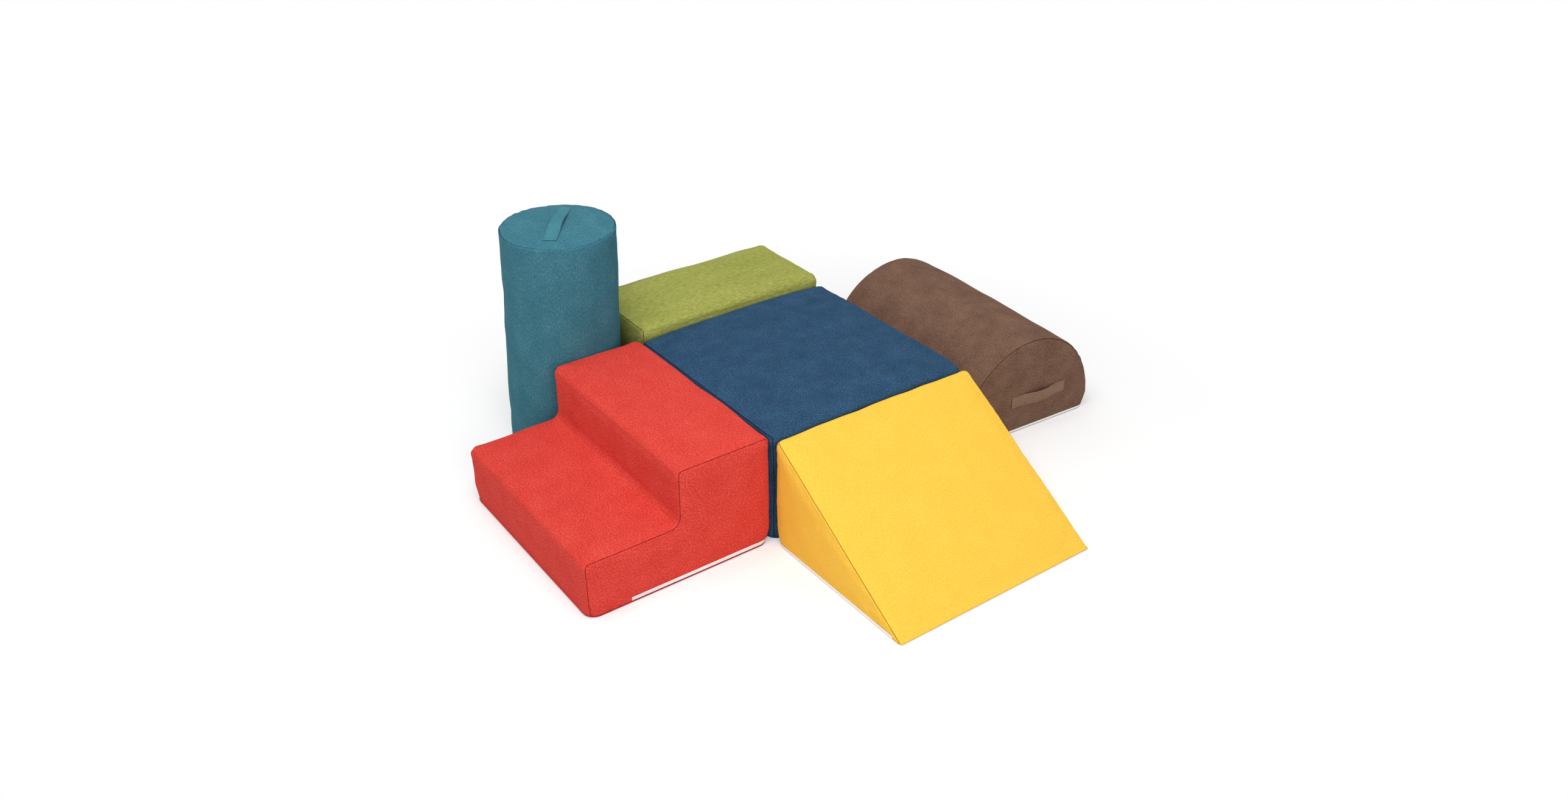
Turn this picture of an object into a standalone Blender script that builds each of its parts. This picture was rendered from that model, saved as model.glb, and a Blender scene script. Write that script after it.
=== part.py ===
"""Soft play foam climber: six loose upholstered foam blocks pushed together.

A square platform stands in the middle. Two steps lead up to it, a ramp leads down,
a low beam and an upright roll stand behind it, and a half round stands beside it.
Each block is a foam core in a sewn cover with a base panel and a zip round the hem.
Metres, +Z up, origin on the floor under the middle of the platform.
"""
import math

import bmesh
import bpy
from mathutils import Matrix, Vector
from mathutils.bvhtree import BVHTree

for old in list(bpy.data.objects):
    bpy.data.objects.remove(old, do_unlink=True)

# Cover
FABRIC = 0.002
FIT_GAP = 0.0003
SEAM_GAP = 0.0006
CROWN = 0.003
EDGE_ROUND = 0.009
FOLD_ROUND = 0.014
INNER_FOLD_ROUND = 0.006
RAMP_FOLD_ROUND = 0.0095
CORNER_TUCK = 0.035
TUCK_HEIGHT = 0.065
BULGE_START = 0.020
BULGE_RISE = 0.080
OVERRUN = 0.010

# Base and zip
BASE_FABRIC = 0.0012
TAPE_FABRIC = 0.0008
COIL = 0.0008
WIDE_RIM = 0.005
WIDE_TAPE = 0.0047
NARROW_RIM = 0.002
NARROW_TAPE = 0.0018
WIDE_SLIDER = 0.0080
NARROW_SLIDER = 0.0052
SLIDER_LENGTH = 0.013
SLIDER_PLATE = 0.0014
SLIDER_SPINE = 0.0010
SLIDER_SPINE_WIDTH = 0.0016
SLIDER_CLEARANCE = 0.0008

# Platform
PLATFORM_SIDE = 0.604
PLATFORM_HEIGHT = 0.300
PLATFORM_LIFT = 0.007
PLATFORM_ZIP_START = 0.110

# Steps
STEPS_WIDTH = 0.606
STEPS_DEPTH = 0.5055
STEPS_HEIGHT = 0.3065
STEPS_SHIFT = 0.0025
STEPS_LIFT = 0.002
TOP_STEP_DEPTH = 0.2545
TREAD_HEIGHT = 0.156
STEPS_ZIP_START = 0.112

# Ramp
RAMP_WIDTH = 0.606
RAMP_DEPTH = 0.475
RAMP_HEIGHT = 0.302
RAMP_SHIFT = 0.0045
RAMP_LIFT = 0.001
RAMP_ZIP_START = 0.030
RAMP_NOSE_OVERHANG = 0.050

# Beam
BEAM_WIDTH = 0.590
BEAM_DEPTH = 0.2845
BEAM_HEIGHT = 0.325
BEAM_SHIFT = 0.0035
BEAM_LIFT = 0.004
BEAM_ZIP_START = 0.060

# Half round
ARCH_LENGTH = 0.633
ARCH_SPAN = 0.461
ARCH_SIDE = 0.035
ARCH_HEIGHT = 0.278
ARCH_CENTRE_X = 0.6004
ARCH_CENTRE_Y = 0.0269
ARCH_TURN = math.radians(-3.4)
ARCH_ZIP_START = 0.060

# Roll
ROLL_BASE_RADIUS = 0.157
ROLL_TOP_RADIUS = 0.1505
ROLL_HEIGHT = 0.614
ROLL_LEAN_X = 0.0198
ROLL_LEAN_Y = -0.0095
ROLL_EDGE_ROUND = 0.009
ROLL_SEAM_ANGLE = math.radians(75)

# Carry straps
STRAP_WIDTH = 0.035
STRAP_THICKNESS = 0.0022
STRAP_SEWN_LENGTH = 0.030
ARCH_STRAP_LENGTH = 0.195
ARCH_STRAP_RISE = 0.014
ARCH_STRAP_HEIGHT = 0.104
ARCH_STRAP_OFFSET = 0.032
ROLL_STRAP_LENGTH = 0.217
ROLL_STRAP_RISE = 0.016
ROLL_STRAP_ANGLE = math.radians(52)

# Spacing of the blocks
MODULE_GAP = 0.0005

# Counts and shares
EDGE_STEPS = 2
FOLD_STEPS = 3
ARCH_STEPS = 16
ROLL_STEPS = 40
ROLL_ZIP_STEPS_BEFORE = 6
ROLL_ZIP_STEPS_AFTER = 9
STRAP_STEPS = 6
SEAM_SHARE = 0.5
FOLD_SHARE = 0.7
FACE_SHARES = (0.0, 0.16, 0.5, 0.86, 1.0)
WIDTH_SHARES = (0.12, 0.5, 0.88)
CORE_WIDTH_SHARES = (0.5,)
RING_SHARES = (0.7, 0.35)
ROLL_FACE_SHARES = (0.0, 0.12, 0.5, 0.88, 1.0)
ROLL_CORE_FACE_SHARES = (0.0, 0.5, 1.0)
LIFT_SHARE = 0.9
DOME_POWER = 3
WIDTH_POWER = 4

RIGHT_ANGLE = math.radians(90)
HALF_TURN = math.radians(180)
FULL_TURN = math.radians(360)
LEVEL_TOLERANCE = 0.01

COLOURS = {
    "platform": (0.028, 0.092, 0.202),
    "steps": (0.760, 0.056, 0.040),
    "ramp": (1.000, 0.650, 0.078),
    "beam": (0.350, 0.430, 0.064),
    "arch": (0.195, 0.107, 0.072),
    "roll": (0.060, 0.240, 0.300),
    "foam": (0.800, 0.780, 0.640),
    "tape": (0.860, 0.850, 0.840),
    "metal": (0.620, 0.620, 0.640),
}


def make_material(name, colour, roughness, metallic=0):
    material = bpy.data.materials.new(name)
    material.use_nodes = True
    shader = material.node_tree.nodes["Principled BSDF"]
    shader.inputs["Base Color"].default_value = (*colour, 1)
    shader.inputs["Roughness"].default_value = roughness
    shader.inputs["Metallic"].default_value = metallic
    return material


def add_object(name, mesh_data, parent, finish):
    """A named sub-part that rides under its block's empty."""
    bmesh.ops.recalc_face_normals(mesh_data, faces=mesh_data.faces)
    if mesh_data.calc_volume(signed=True) < 0:
        bmesh.ops.reverse_faces(mesh_data, faces=mesh_data.faces)
    mesh = bpy.data.meshes.new(name)
    mesh_data.to_mesh(mesh)
    mesh_data.free()
    part = bpy.data.objects.new(name, mesh)
    bpy.context.collection.objects.link(part)
    part.parent = parent
    colour, roughness, metallic = finish
    mesh.materials.append(make_material(name, colour, roughness, metallic))
    return part


def fabric_finish(block):
    return (COLOURS[block], 0.92, 0)


FOAM_FINISH = (COLOURS["foam"], 0.95, 0)
TAPE_FINISH = (COLOURS["tape"], 0.85, 0)
METAL_FINISH = (COLOURS["metal"], 0.35, 1)


def add_empty(name, x, y, turn):
    empty = bpy.data.objects.new(name, None)
    bpy.context.collection.objects.link(empty)
    empty.location = (x, y, 0)
    empty.rotation_euler = (0, 0, turn)
    return empty


def cut_with(part, cutter):
    modifier = part.modifiers.new(cutter.name, "BOOLEAN")
    modifier.operation = "DIFFERENCE"
    modifier.solver = "EXACT"
    modifier.object = cutter


def add_cutter(name, mesh_data, parent):
    cutter = add_object(name, mesh_data, parent, FOAM_FINISH)
    cutter.hide_render = True
    cutter.display_type = "WIRE"
    return cutter


def box_mesh(low, high):
    mesh_data = bmesh.new()
    bmesh.ops.create_cube(mesh_data, size=1)
    size = [b - a for a, b in zip(low, high)]
    middle = [(a + b) / 2 for a, b in zip(low, high)]
    bmesh.ops.transform(mesh_data, matrix=Matrix.Diagonal((*size, 1)), verts=mesh_data.verts)
    bmesh.ops.translate(mesh_data, vec=middle, verts=mesh_data.verts)
    return mesh_data


def add_rows(mesh_data, rows, closed):
    """Faces between neighbouring rows of points; returns the rows as vertices."""
    verts = [[mesh_data.verts.new(point) for point in row] for row in rows]
    for near, far in zip(verts, verts[1:]):
        join_rows(mesh_data, near, far, closed)
    return verts


def join_rows(mesh_data, near, far, closed):
    """Pairs of triangles, so that both skins of a panel are folded along the same diagonals."""
    count = len(near)
    for i in range(count if closed else count - 1):
        j = (i + 1) % count
        mesh_data.faces.new((near[i], near[j], far[j]))
        mesh_data.faces.new((near[i], far[j], far[i]))


def close_row(mesh_data, row, tip):
    """A fan from a closed row to one point in its middle."""
    centre = mesh_data.verts.new(tip)
    for i, vert in enumerate(row):
        mesh_data.faces.new((vert, row[(i + 1) % len(row)], centre))


# Outline of a block, seen along its width
# Each mark is (x, z, normal x, normal z, crown), from the front hem over the top to the back hem.


def crown_height(normal, u, ends, lift):
    """How far a face stands out at a share u of its length; faces that look up are lifted more."""
    rim = ends[0] + (ends[1] - ends[0]) * u
    share = rim + (1 - rim) * (1 - abs(2 * u - 1) ** DOME_POWER)
    return (CROWN + lift * max(0, normal.y)) * share


def folded_outline(corners, folds, lift, fold_steps, front_overhang=OVERRUN):
    """Straight faces that meet in folds of the given radii; the hem runs on below the floor."""
    directions = [(Vector(b) - Vector(a)).normalized() for a, b in zip(corners, corners[1:])]
    normals = [Vector((d.y, -d.x)) for d in directions]
    setbacks = [0]
    for before, after, radius in zip(directions, directions[1:], folds):
        setbacks.append(radius * math.tan(before.angle(after) / 2))
    setbacks.append(0)
    rims = [FOLD_SHARE]
    rims += [FOLD_SHARE * (before.cross(after) > 0) for before, after in zip(normals, normals[1:])]
    rims.append(FOLD_SHARE)
    marks = []
    for i, (direction, normal) in enumerate(zip(directions, normals)):
        start = Vector(corners[i]) + direction * setbacks[i]
        end = Vector(corners[i + 1]) - direction * setbacks[i + 1]
        length = (end - start).length
        face_shares = list(FACE_SHARES)
        if i == 0:
            face_shares.insert(0, -front_overhang / length)
        if i == len(directions) - 1:
            face_shares.append(1 + OVERRUN / length)
        for u in face_shares:
            point = start + (end - start) * u
            crown = crown_height(normal, u, rims[i:i + 2], lift)
            marks.append((point.x, point.y, normal.x, normal.y, crown))
        if i < len(folds):
            marks += fold_marks(end, normal, normals[i + 1], folds[i], fold_steps, lift)
    return marks


def fold_marks(start, before, after, radius, steps, lift):
    """The points inside one fold, without its two ends."""
    turn = math.atan2(before.x * after.y - before.y * after.x, before.dot(after))
    side = math.copysign(1, turn)
    rim = FOLD_SHARE
    if side < 0:
        steps = FOLD_STEPS
        rim = 0
    centre = start - before * radius * side
    marks = []
    for step in range(1, steps):
        normal = before.copy()
        normal.rotate(Matrix.Rotation(turn * step / steps, 2))
        point = centre + normal * radius * side
        crown = crown_height(normal, 0, (rim, rim), lift)
        marks.append((point.x, point.y, normal.x, normal.y, crown))
    return marks


def half_round_outline(steps):
    """Two short upright sides under half an ellipse."""
    radius_x = ARCH_SPAN / 2
    radius_z = ARCH_HEIGHT - ARCH_SIDE
    marks = [(ARCH_SPAN, -OVERRUN, 1, 0, 0), (ARCH_SPAN, 0, 1, 0, 0)]
    for step in range(steps + 1):
        angle = HALF_TURN * step / steps
        x = radius_x * math.cos(angle)
        z = radius_z * math.sin(angle)
        normal = Vector((x / radius_x ** 2, z / radius_z ** 2)).normalized()
        marks.append((radius_x + x, ARCH_SIDE + z, normal.x, normal.y, 0))
    marks += [(0, 0, -1, 0, 0), (0, -OVERRUN, -1, 0, 0)]
    return marks


# Skins, cores and hems of a block, from its outline


def edge_radius(mark):
    """Rounding of the sewn edge; upright corners are drawn in further towards the floor."""
    x, z, normal_x, normal_z, crown = mark
    if abs(normal_z) > LEVEL_TOLERANCE or z > TUCK_HEIGHT:
        return EDGE_ROUND
    return corner_radius(z)


def corner_radius(z):
    return EDGE_ROUND + (CORNER_TUCK - EDGE_ROUND) * max(0, 1 - z / TUCK_HEIGHT) ** 2


def floor_share(z):
    """A face starts to bulge a little above its hem."""
    return 1 - (1 - min(1, max(0, (z - BULGE_START) / BULGE_RISE))) ** 2


def drawn_in(outline, i, drop, radius):
    """A mark moved in along its normal; a hem end also slides up its face, so that rows stay nested."""
    x, z, normal_x, normal_z, crown = outline[i]
    x -= normal_x * drop
    z -= normal_z * drop
    if i in (0, len(outline) - 1):
        climb = normal_z * drop + OVERRUN * LIFT_SHARE * drop / radius
        x -= normal_z * climb / normal_x
        z += climb
    return x, z


def edge_row(outline, half, side, angle, inset):
    """A row of points round the rounding of a sewn edge; angle 0 is the wrap, a right angle the end."""
    row = []
    for i, mark in enumerate(outline):
        radius = edge_radius(mark)
        x, z = drawn_in(outline, i, radius - (radius - inset) * math.cos(angle), radius)
        row.append((x, side * (half - radius + (radius - inset) * math.sin(angle)), z))
    return row


def middle_row(outline, half, share, inset):
    """A row across the crowned part of the wrap."""
    row = []
    for i, mark in enumerate(outline):
        radius = edge_radius(mark)
        crown = mark[-1] * (1 - abs(2 * share - 1) ** WIDTH_POWER) * floor_share(mark[1])
        x, z = drawn_in(outline, i, inset - crown, radius)
        row.append((x, (2 * share - 1) * (half - radius), z))
    return row


def wrap_rows(outline, half, seam_angle, steps, shares, inset):
    """Rows from one seam to the other."""
    angles = [seam_angle * (1 - step / steps) for step in range(steps + 1)]
    rows = [edge_row(outline, half, -1, angle, inset) for angle in angles]
    rows += [middle_row(outline, half, share, inset) for share in shares]
    rows += [edge_row(outline, half, 1, angle, inset) for angle in reversed(angles)]
    return rows


def end_rows(outline, half, side, seam_angle, steps, shares, centre, inset):
    """Rows from the seam over the rounding and up the dome of an end, and the dome's tip."""
    angles = [seam_angle + (RIGHT_ANGLE - seam_angle) * step / steps for step in range(steps + 1)]
    rows = [edge_row(outline, half, side, angle, inset) for angle in angles]
    rim = rows[-1]
    for share in (*shares, 0):
        row = []
        for x, y, z in rim:
            ring_x = centre[0] + (x - centre[0]) * share
            ring_z = centre[1] + (z - centre[1]) * share
            out = CROWN * (1 - share ** DOME_POWER) * floor_share(ring_z)
            row.append((ring_x, side * (half - inset + out), ring_z))
        rows.append(row)
    return rows[:-1], rows[-1][0]


def wrap_panel(outline, half):
    """The strip of the cover that runs from the front hem over the block to the back hem."""
    seam = RIGHT_ANGLE * SEAM_SHARE - SEAM_GAP / 2 / EDGE_ROUND
    mesh_data = bmesh.new()
    outer = add_rows(mesh_data, wrap_rows(outline, half, seam, EDGE_STEPS, WIDTH_SHARES, 0), False)
    inner = add_rows(mesh_data, wrap_rows(outline, half, seam, EDGE_STEPS, WIDTH_SHARES, FABRIC), False)
    for row in (0, -1):
        join_rows(mesh_data, outer[row], inner[row], False)
    for column in (0, -1):
        join_rows(mesh_data, [row[column] for row in outer], [row[column] for row in inner], False)
    return mesh_data


def end_panel(outline, half, side, centre):
    """A domed end of the cover, sewn to the wrap along the rounded edge."""
    seam = RIGHT_ANGLE * SEAM_SHARE + SEAM_GAP / 2 / EDGE_ROUND
    mesh_data = bmesh.new()
    skins = []
    for inset in (0, FABRIC):
        rows, tip = end_rows(outline, half, side, seam, EDGE_STEPS, RING_SHARES, centre, inset)
        skin = add_rows(mesh_data, rows, True)
        close_row(mesh_data, skin[-1], tip)
        skins.append(skin)
    join_rows(mesh_data, skins[0][0], skins[1][0], True)
    return mesh_data


def foam_core(outline, half, centre):
    """The foam inside the cover, a little smaller all round."""
    inset = FABRIC + FIT_GAP
    seam = RIGHT_ANGLE * SEAM_SHARE
    mesh_data = bmesh.new()
    seams = []
    for side in (-1, 1):
        rows, tip = end_rows(outline, half, side, seam, 1, RING_SHARES, centre, inset)
        verts = add_rows(mesh_data, rows, True)
        close_row(mesh_data, verts[-1], tip)
        seams.append(verts[0])
    middle = add_rows(mesh_data, wrap_rows(outline, half, seam, 1, CORE_WIDTH_SHARES, inset)[1:-1], True)
    join_rows(mesh_data, seams[0], middle[0], True)
    join_rows(mesh_data, middle[-1], seams[1], True)
    return mesh_data


def corner_arc(x, y, from_angle, radius):
    points = []
    for step in range(2 * EDGE_STEPS + 1):
        angle = from_angle + RIGHT_ANGLE * step / (2 * EDGE_STEPS)
        points.append((x + radius * math.cos(angle), y + radius * math.sin(angle)))
    return points


def back_hem(half, radius, inset):
    """The hem's two back corners, from the +Y side round the back to the -Y side."""
    points = corner_arc(radius, half - radius, RIGHT_ANGLE, radius - inset)
    points += corner_arc(radius, radius - half, HALF_TURN, radius - inset)
    return points


def front_hem(depth, half, radius, inset):
    points = corner_arc(depth - radius, radius - half, -RIGHT_ANGLE, radius - inset)
    points += corner_arc(depth - radius, half - radius, 0, radius - inset)
    return points


def base_tray(outer, inner, rim):
    """A flat sheet with its rim turned up, from its outer and inner loops of (x, y)."""
    mesh_data = bmesh.new()
    levels = ((outer, 0), (outer, rim), (inner, rim), (inner, BASE_FABRIC))
    rows = add_rows(mesh_data, [[(x, y, z) for x, y in loop] for loop, z in levels], True)
    mesh_data.faces.new(rows[0])
    mesh_data.faces.new(rows[-1])
    return mesh_data


def hem_levels(rim, tape):
    """Heights of the lower tape, the upper tape and the skins' edge above a zip."""
    lower = rim + FIT_GAP
    upper = lower + tape + FIT_GAP
    return lower, upper, upper + tape + FIT_GAP


def tape_section(low, tape, slit_on_top):
    """(inset, z) round one tape half; its coil lies behind the edge at the slit."""
    high = low + tape
    slit, hem = (high, low) if slit_on_top else (low, high)
    turned = slit + math.copysign(COIL, hem - slit)
    return [(0, hem), (0, slit), (TAPE_FABRIC + COIL, slit), (TAPE_FABRIC + COIL, turned),
            (TAPE_FABRIC, turned), (TAPE_FABRIC, hem)]


def tape_band(section, path):
    """A tape half swept along the hem; path gives its (x, y) points at an inset and a height."""
    columns = [[(x, y, z) for x, y in path(inset, z)] for inset, z in section]
    rows = [list(row) for row in zip(*columns)]
    mesh_data = bmesh.new()
    verts = add_rows(mesh_data, rows, True)
    mesh_data.faces.new(verts[0])
    mesh_data.faces.new(verts[-1])
    return mesh_data


def slider_mesh(height, length):
    """A flat-backed slider body with a blunt nose and a raised spine; it faces +Y."""
    half = height / 2
    nose = length / 2 - half / 2
    outline = [(-length / 2, -half / 2), (-length / 2, half / 2), (-length / 4, half),
               (nose, half / 2), (length / 2, 0), (nose, -half / 2), (-length / 4, -half)]
    mesh_data = bmesh.new()
    plate = SLIDER_PLATE
    levels = ((1, 0), (1, plate))
    rows = add_rows(mesh_data, [[(x * k, y, z * k) for x, z in outline] for k, y in levels], True)
    spine = SLIDER_SPINE_WIDTH / height
    crest = [mesh_data.verts.new((x * spine * 2, plate, z * spine)) for x, z in outline]
    raised = [mesh_data.verts.new((x * spine * 2, plate + SLIDER_SPINE, z * spine)) for x, z in outline]
    mesh_data.faces.new(rows[0])
    join_rows(mesh_data, rows[-1], crest, True)
    join_rows(mesh_data, crest, raised, True)
    mesh_data.faces.new(raised)
    return mesh_data


def strap_stations(length, rise, seat):
    """Centre line of a strap: flat sewn ends, a smooth climb, and a level middle that a hand fits under."""
    climb = (length / 2 - STRAP_SEWN_LENGTH) * 2 / 3
    stations = []
    for sign in (-1, 1):
        side = [(sign * length / 2, 0), (sign * (length / 2 - STRAP_SEWN_LENGTH), 0)]
        for step in range(1, STRAP_STEPS + 1):
            share = step / STRAP_STEPS
            along = length / 2 - STRAP_SEWN_LENGTH - climb * share
            side.append((sign * along, (1 - math.cos(HALF_TURN * share)) / 2))
        stations += side if sign < 0 else reversed(side)
    return [(along, seat(along) + FIT_GAP + rise * share) for along, share in stations]


def strap_mesh(stations):
    """A flat band along +X that stands up in +Z; its place is set by the caller."""
    mesh_data = bmesh.new()
    half = STRAP_WIDTH / 2
    rows = []
    for along, height in stations:
        top = height + STRAP_THICKNESS
        rows.append([(along, -half, height), (along, half, height), (along, half, top), (along, -half, top)])
    verts = add_rows(mesh_data, rows, True)
    mesh_data.faces.new(verts[0])
    mesh_data.faces.new(verts[-1])
    return mesh_data


def panel_seat(mesh_data, frame):
    """Height of a panel above the frame's own XY plane, as a function of the distance along it."""
    tree = BVHTree.FromBMesh(mesh_data)
    above = OVERRUN

    def seat(along):
        heights = []
        for across in (-STRAP_WIDTH / 2, 0, STRAP_WIDTH / 2):
            start = frame @ Vector((along, across, above))
            hit = tree.ray_cast(start, frame.to_3x3() @ Vector((0, 0, -1)))[0]
            heights.append((frame.inverted() @ hit).z)
        return max(heights)

    return seat


# A block with a wrap and two ends


EDGE_GAP = 2 * CROWN + MODULE_GAP
CORE_FLOOR = BASE_FABRIC + FIT_GAP
WIDE_ZIP = (WIDE_RIM, WIDE_TAPE, WIDE_SLIDER)
NARROW_ZIP = (NARROW_RIM, NARROW_TAPE, NARROW_SLIDER)


def add_cover(block, outline, depth, half, centre, place, zip_end, zip_sizes):
    """The wrap and the two ends of a cover, cut off above the base and cut out for the zip."""
    rim, tape, slider_height = zip_sizes
    lower, upper, skin_edge = hem_levels(rim, tape)
    floor_box = box_mesh((-depth, -2 * half, -depth), (2 * depth, 2 * half, lower))
    slot_box = box_mesh((-depth, -2 * half, 0), (zip_end, 2 * half, skin_edge))
    cutters = [add_cutter(block + "_floor_cutter", floor_box, place)]
    cutters.append(add_cutter(block + "_zip_cutter", slot_box, place))
    panels = {
        "wrap_panel": wrap_panel(outline, half),
        "left_end_panel": end_panel(outline, half, -1, centre),
        "right_end_panel": end_panel(outline, half, 1, centre),
    }
    for suffix, mesh_data in panels.items():
        panel = add_object(f"{block}_{suffix}", mesh_data, place, fabric_finish(block))
        for cutter in cutters:
            cut_with(panel, cutter)


def add_base(block, depth, half, place, rim, front_radius):
    """The base sheet of a block; its plan follows the drawn-in corners of the hem."""
    radius = corner_radius(rim)
    loops = [
        back_hem(half, radius, inset) + front_hem(depth, half, front_radius, inset)
        for inset in (0, BASE_FABRIC)
    ]
    add_object(block + "_base_panel", base_tray(*loops, rim), place, fabric_finish(block))


def add_zip(block, half, side, place, zip_end, zip_sizes):
    """Two tape halves along one end, the back and the other end, and the slider on one side."""
    rim, tape, slider_height = zip_sizes
    lower, upper, skin_edge = hem_levels(rim, tape)

    def hem_path(inset, z):
        leg = zip_end - FIT_GAP
        return [(leg, half - inset), *back_hem(half, corner_radius(z), inset), (leg, inset - half)]

    for name, low, slit_on_top in (("lower", lower, True), ("upper", upper, False)):
        band = tape_band(tape_section(low, tape, slit_on_top), hem_path)
        add_object(f"{block}_zip_{name}_tape", band, place, TAPE_FINISH)
    slider = add_object(block + "_zip_slider", slider_mesh(slider_height, SLIDER_LENGTH), place, METAL_FINISH)
    slider.location = (zip_end - SLIDER_LENGTH / 2, side * (half + SLIDER_CLEARANCE), upper - FIT_GAP / 2)
    slider.rotation_euler = (0, 0, 0 if side > 0 else HALF_TURN)


def add_core(name, outline, half, depth, centre, place):
    """A foam core that stands on the base sheet."""
    core = add_object(name, foam_core(outline, half, centre), place, FOAM_FINISH)
    below = box_mesh((-depth, -2 * half, -depth), (2 * depth, 2 * half, CORE_FLOOR))
    cut_with(core, add_cutter(name + "_floor_cutter", below, place))
    return core


def add_strap(name, mesh_data, length, rise, frame, place, finish):
    """A strap sewn down at both ends on the panel under the frame's XY plane."""
    stations = strap_stations(length, rise, panel_seat(mesh_data, frame))
    mesh_data.free()
    strap = add_object(name, strap_mesh(stations), place, finish)
    strap.location = frame.to_translation()
    strap.rotation_euler = frame.to_euler()


def add_place(block, middle_x, middle_y, turn, depth):
    """An empty at a block's back edge, so that its depth runs from there along local +X."""
    back = Vector((middle_x, middle_y)) - depth / 2 * Vector((math.cos(turn), math.sin(turn)))
    return add_empty(block + "_place", back.x, back.y, turn)


# Platform
place = add_place("platform", 0, 0, -RIGHT_ANGLE, PLATFORM_SIDE)
corners = [(PLATFORM_SIDE, 0), (PLATFORM_SIDE, PLATFORM_HEIGHT), (0, PLATFORM_HEIGHT), (0, 0)]
folds = [FOLD_ROUND, FOLD_ROUND]
half = PLATFORM_SIDE / 2
centre = (PLATFORM_SIDE / 2, PLATFORM_HEIGHT / 2)
zip_end = PLATFORM_SIDE - PLATFORM_ZIP_START
outline = folded_outline(corners, folds, PLATFORM_LIFT, FOLD_STEPS)
core_outline = folded_outline(corners, folds, PLATFORM_LIFT, 1)
add_cover("platform", outline, PLATFORM_SIDE, half, centre, place, zip_end, WIDE_ZIP)
add_base("platform", PLATFORM_SIDE, half, place, WIDE_RIM, corner_radius(WIDE_RIM))
add_zip("platform", half, 1, place, zip_end, WIDE_ZIP)
add_core("platform_foam_core", core_outline, half, PLATFORM_SIDE, centre, place)

# Steps, with a core of two slabs that meet at the height of the tread
steps_middle = -(PLATFORM_SIDE / 2 + EDGE_GAP + STEPS_DEPTH / 2)
place = add_place("steps", steps_middle, STEPS_SHIFT, HALF_TURN, STEPS_DEPTH)
corners = [(STEPS_DEPTH, 0), (STEPS_DEPTH, TREAD_HEIGHT), (TOP_STEP_DEPTH, TREAD_HEIGHT),
           (TOP_STEP_DEPTH, STEPS_HEIGHT), (0, STEPS_HEIGHT), (0, 0)]
folds = [FOLD_ROUND, INNER_FOLD_ROUND, FOLD_ROUND, FOLD_ROUND]
half = STEPS_WIDTH / 2
centre = (TOP_STEP_DEPTH / 2, TREAD_HEIGHT / 2)
zip_end = STEPS_DEPTH - STEPS_ZIP_START
outline = folded_outline(corners, folds, STEPS_LIFT, FOLD_STEPS)
core_outline = folded_outline(corners, folds, STEPS_LIFT, 1)
add_cover("steps", outline, STEPS_DEPTH, half, centre, place, zip_end, WIDE_ZIP)
add_base("steps", STEPS_DEPTH, half, place, WIDE_RIM, corner_radius(WIDE_RIM))
add_zip("steps", half, -1, place, zip_end, WIDE_ZIP)
split = TREAD_HEIGHT - FABRIC
toe = TOP_STEP_DEPTH + INNER_FOLD_ROUND
slab = add_core("steps_lower_foam_core", core_outline, half, STEPS_DEPTH, centre, place)
above = box_mesh((-toe, -2 * half, split), (toe, 2 * half, 2 * STEPS_HEIGHT))
cut_with(slab, add_cutter("steps_lower_core_cutter", above, place))
block = add_object("steps_upper_foam_core", foam_core(core_outline, half, centre), place, FOAM_FINISH)
below = box_mesh((-STEPS_DEPTH, -2 * half, -split), (2 * STEPS_DEPTH, 2 * half, split + FIT_GAP))
cut_with(block, add_cutter("steps_upper_core_cutter", below, place))
before = box_mesh((toe, -2 * half, -split), (2 * STEPS_DEPTH, 2 * half, 2 * STEPS_HEIGHT))
cut_with(block, add_cutter("steps_tread_cutter", before, place))

# Ramp, whose slope runs on below the floor until the hem cuts it off
ramp_middle = -(PLATFORM_SIDE / 2 + EDGE_GAP + RAMP_DEPTH / 2)
place = add_place("ramp", RAMP_SHIFT, ramp_middle, -RIGHT_ANGLE, RAMP_DEPTH)
corners = [(RAMP_DEPTH, 0), (0, RAMP_HEIGHT), (0, 0)]
folds = [RAMP_FOLD_ROUND]
half = RAMP_WIDTH / 2
centre = (RAMP_DEPTH / 3, RAMP_HEIGHT / 3)
zip_end = RAMP_DEPTH - RAMP_ZIP_START
outline = folded_outline(corners, folds, RAMP_LIFT, FOLD_STEPS, RAMP_NOSE_OVERHANG)
core_outline = folded_outline(corners, folds, RAMP_LIFT, 1, RAMP_NOSE_OVERHANG)
add_cover("ramp", outline, RAMP_DEPTH, half, centre, place, zip_end, NARROW_ZIP)
nose = RAMP_DEPTH * (1 - NARROW_RIM / RAMP_HEIGHT)
add_base("ramp", nose, half, place, NARROW_RIM, EDGE_ROUND)
add_zip("ramp", half, 1, place, zip_end, NARROW_ZIP)
add_core("ramp_foam_core", core_outline, half, RAMP_DEPTH, centre, place)

# Beam
beam_middle = PLATFORM_SIDE / 2 + EDGE_GAP + BEAM_DEPTH / 2
place = add_place("beam", BEAM_SHIFT, beam_middle, -RIGHT_ANGLE, BEAM_DEPTH)
corners = [(BEAM_DEPTH, 0), (BEAM_DEPTH, BEAM_HEIGHT), (0, BEAM_HEIGHT), (0, 0)]
folds = [FOLD_ROUND, FOLD_ROUND]
half = BEAM_WIDTH / 2
centre = (BEAM_DEPTH / 2, BEAM_HEIGHT / 2)
zip_end = BEAM_DEPTH - BEAM_ZIP_START
outline = folded_outline(corners, folds, BEAM_LIFT, FOLD_STEPS)
core_outline = folded_outline(corners, folds, BEAM_LIFT, 1)
add_cover("beam", outline, BEAM_DEPTH, half, centre, place, zip_end, WIDE_ZIP)
add_base("beam", BEAM_DEPTH, half, place, WIDE_RIM, corner_radius(WIDE_RIM))
add_zip("beam", half, 1, place, zip_end, WIDE_ZIP)
add_core("beam_foam_core", core_outline, half, BEAM_DEPTH, centre, place)

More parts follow.
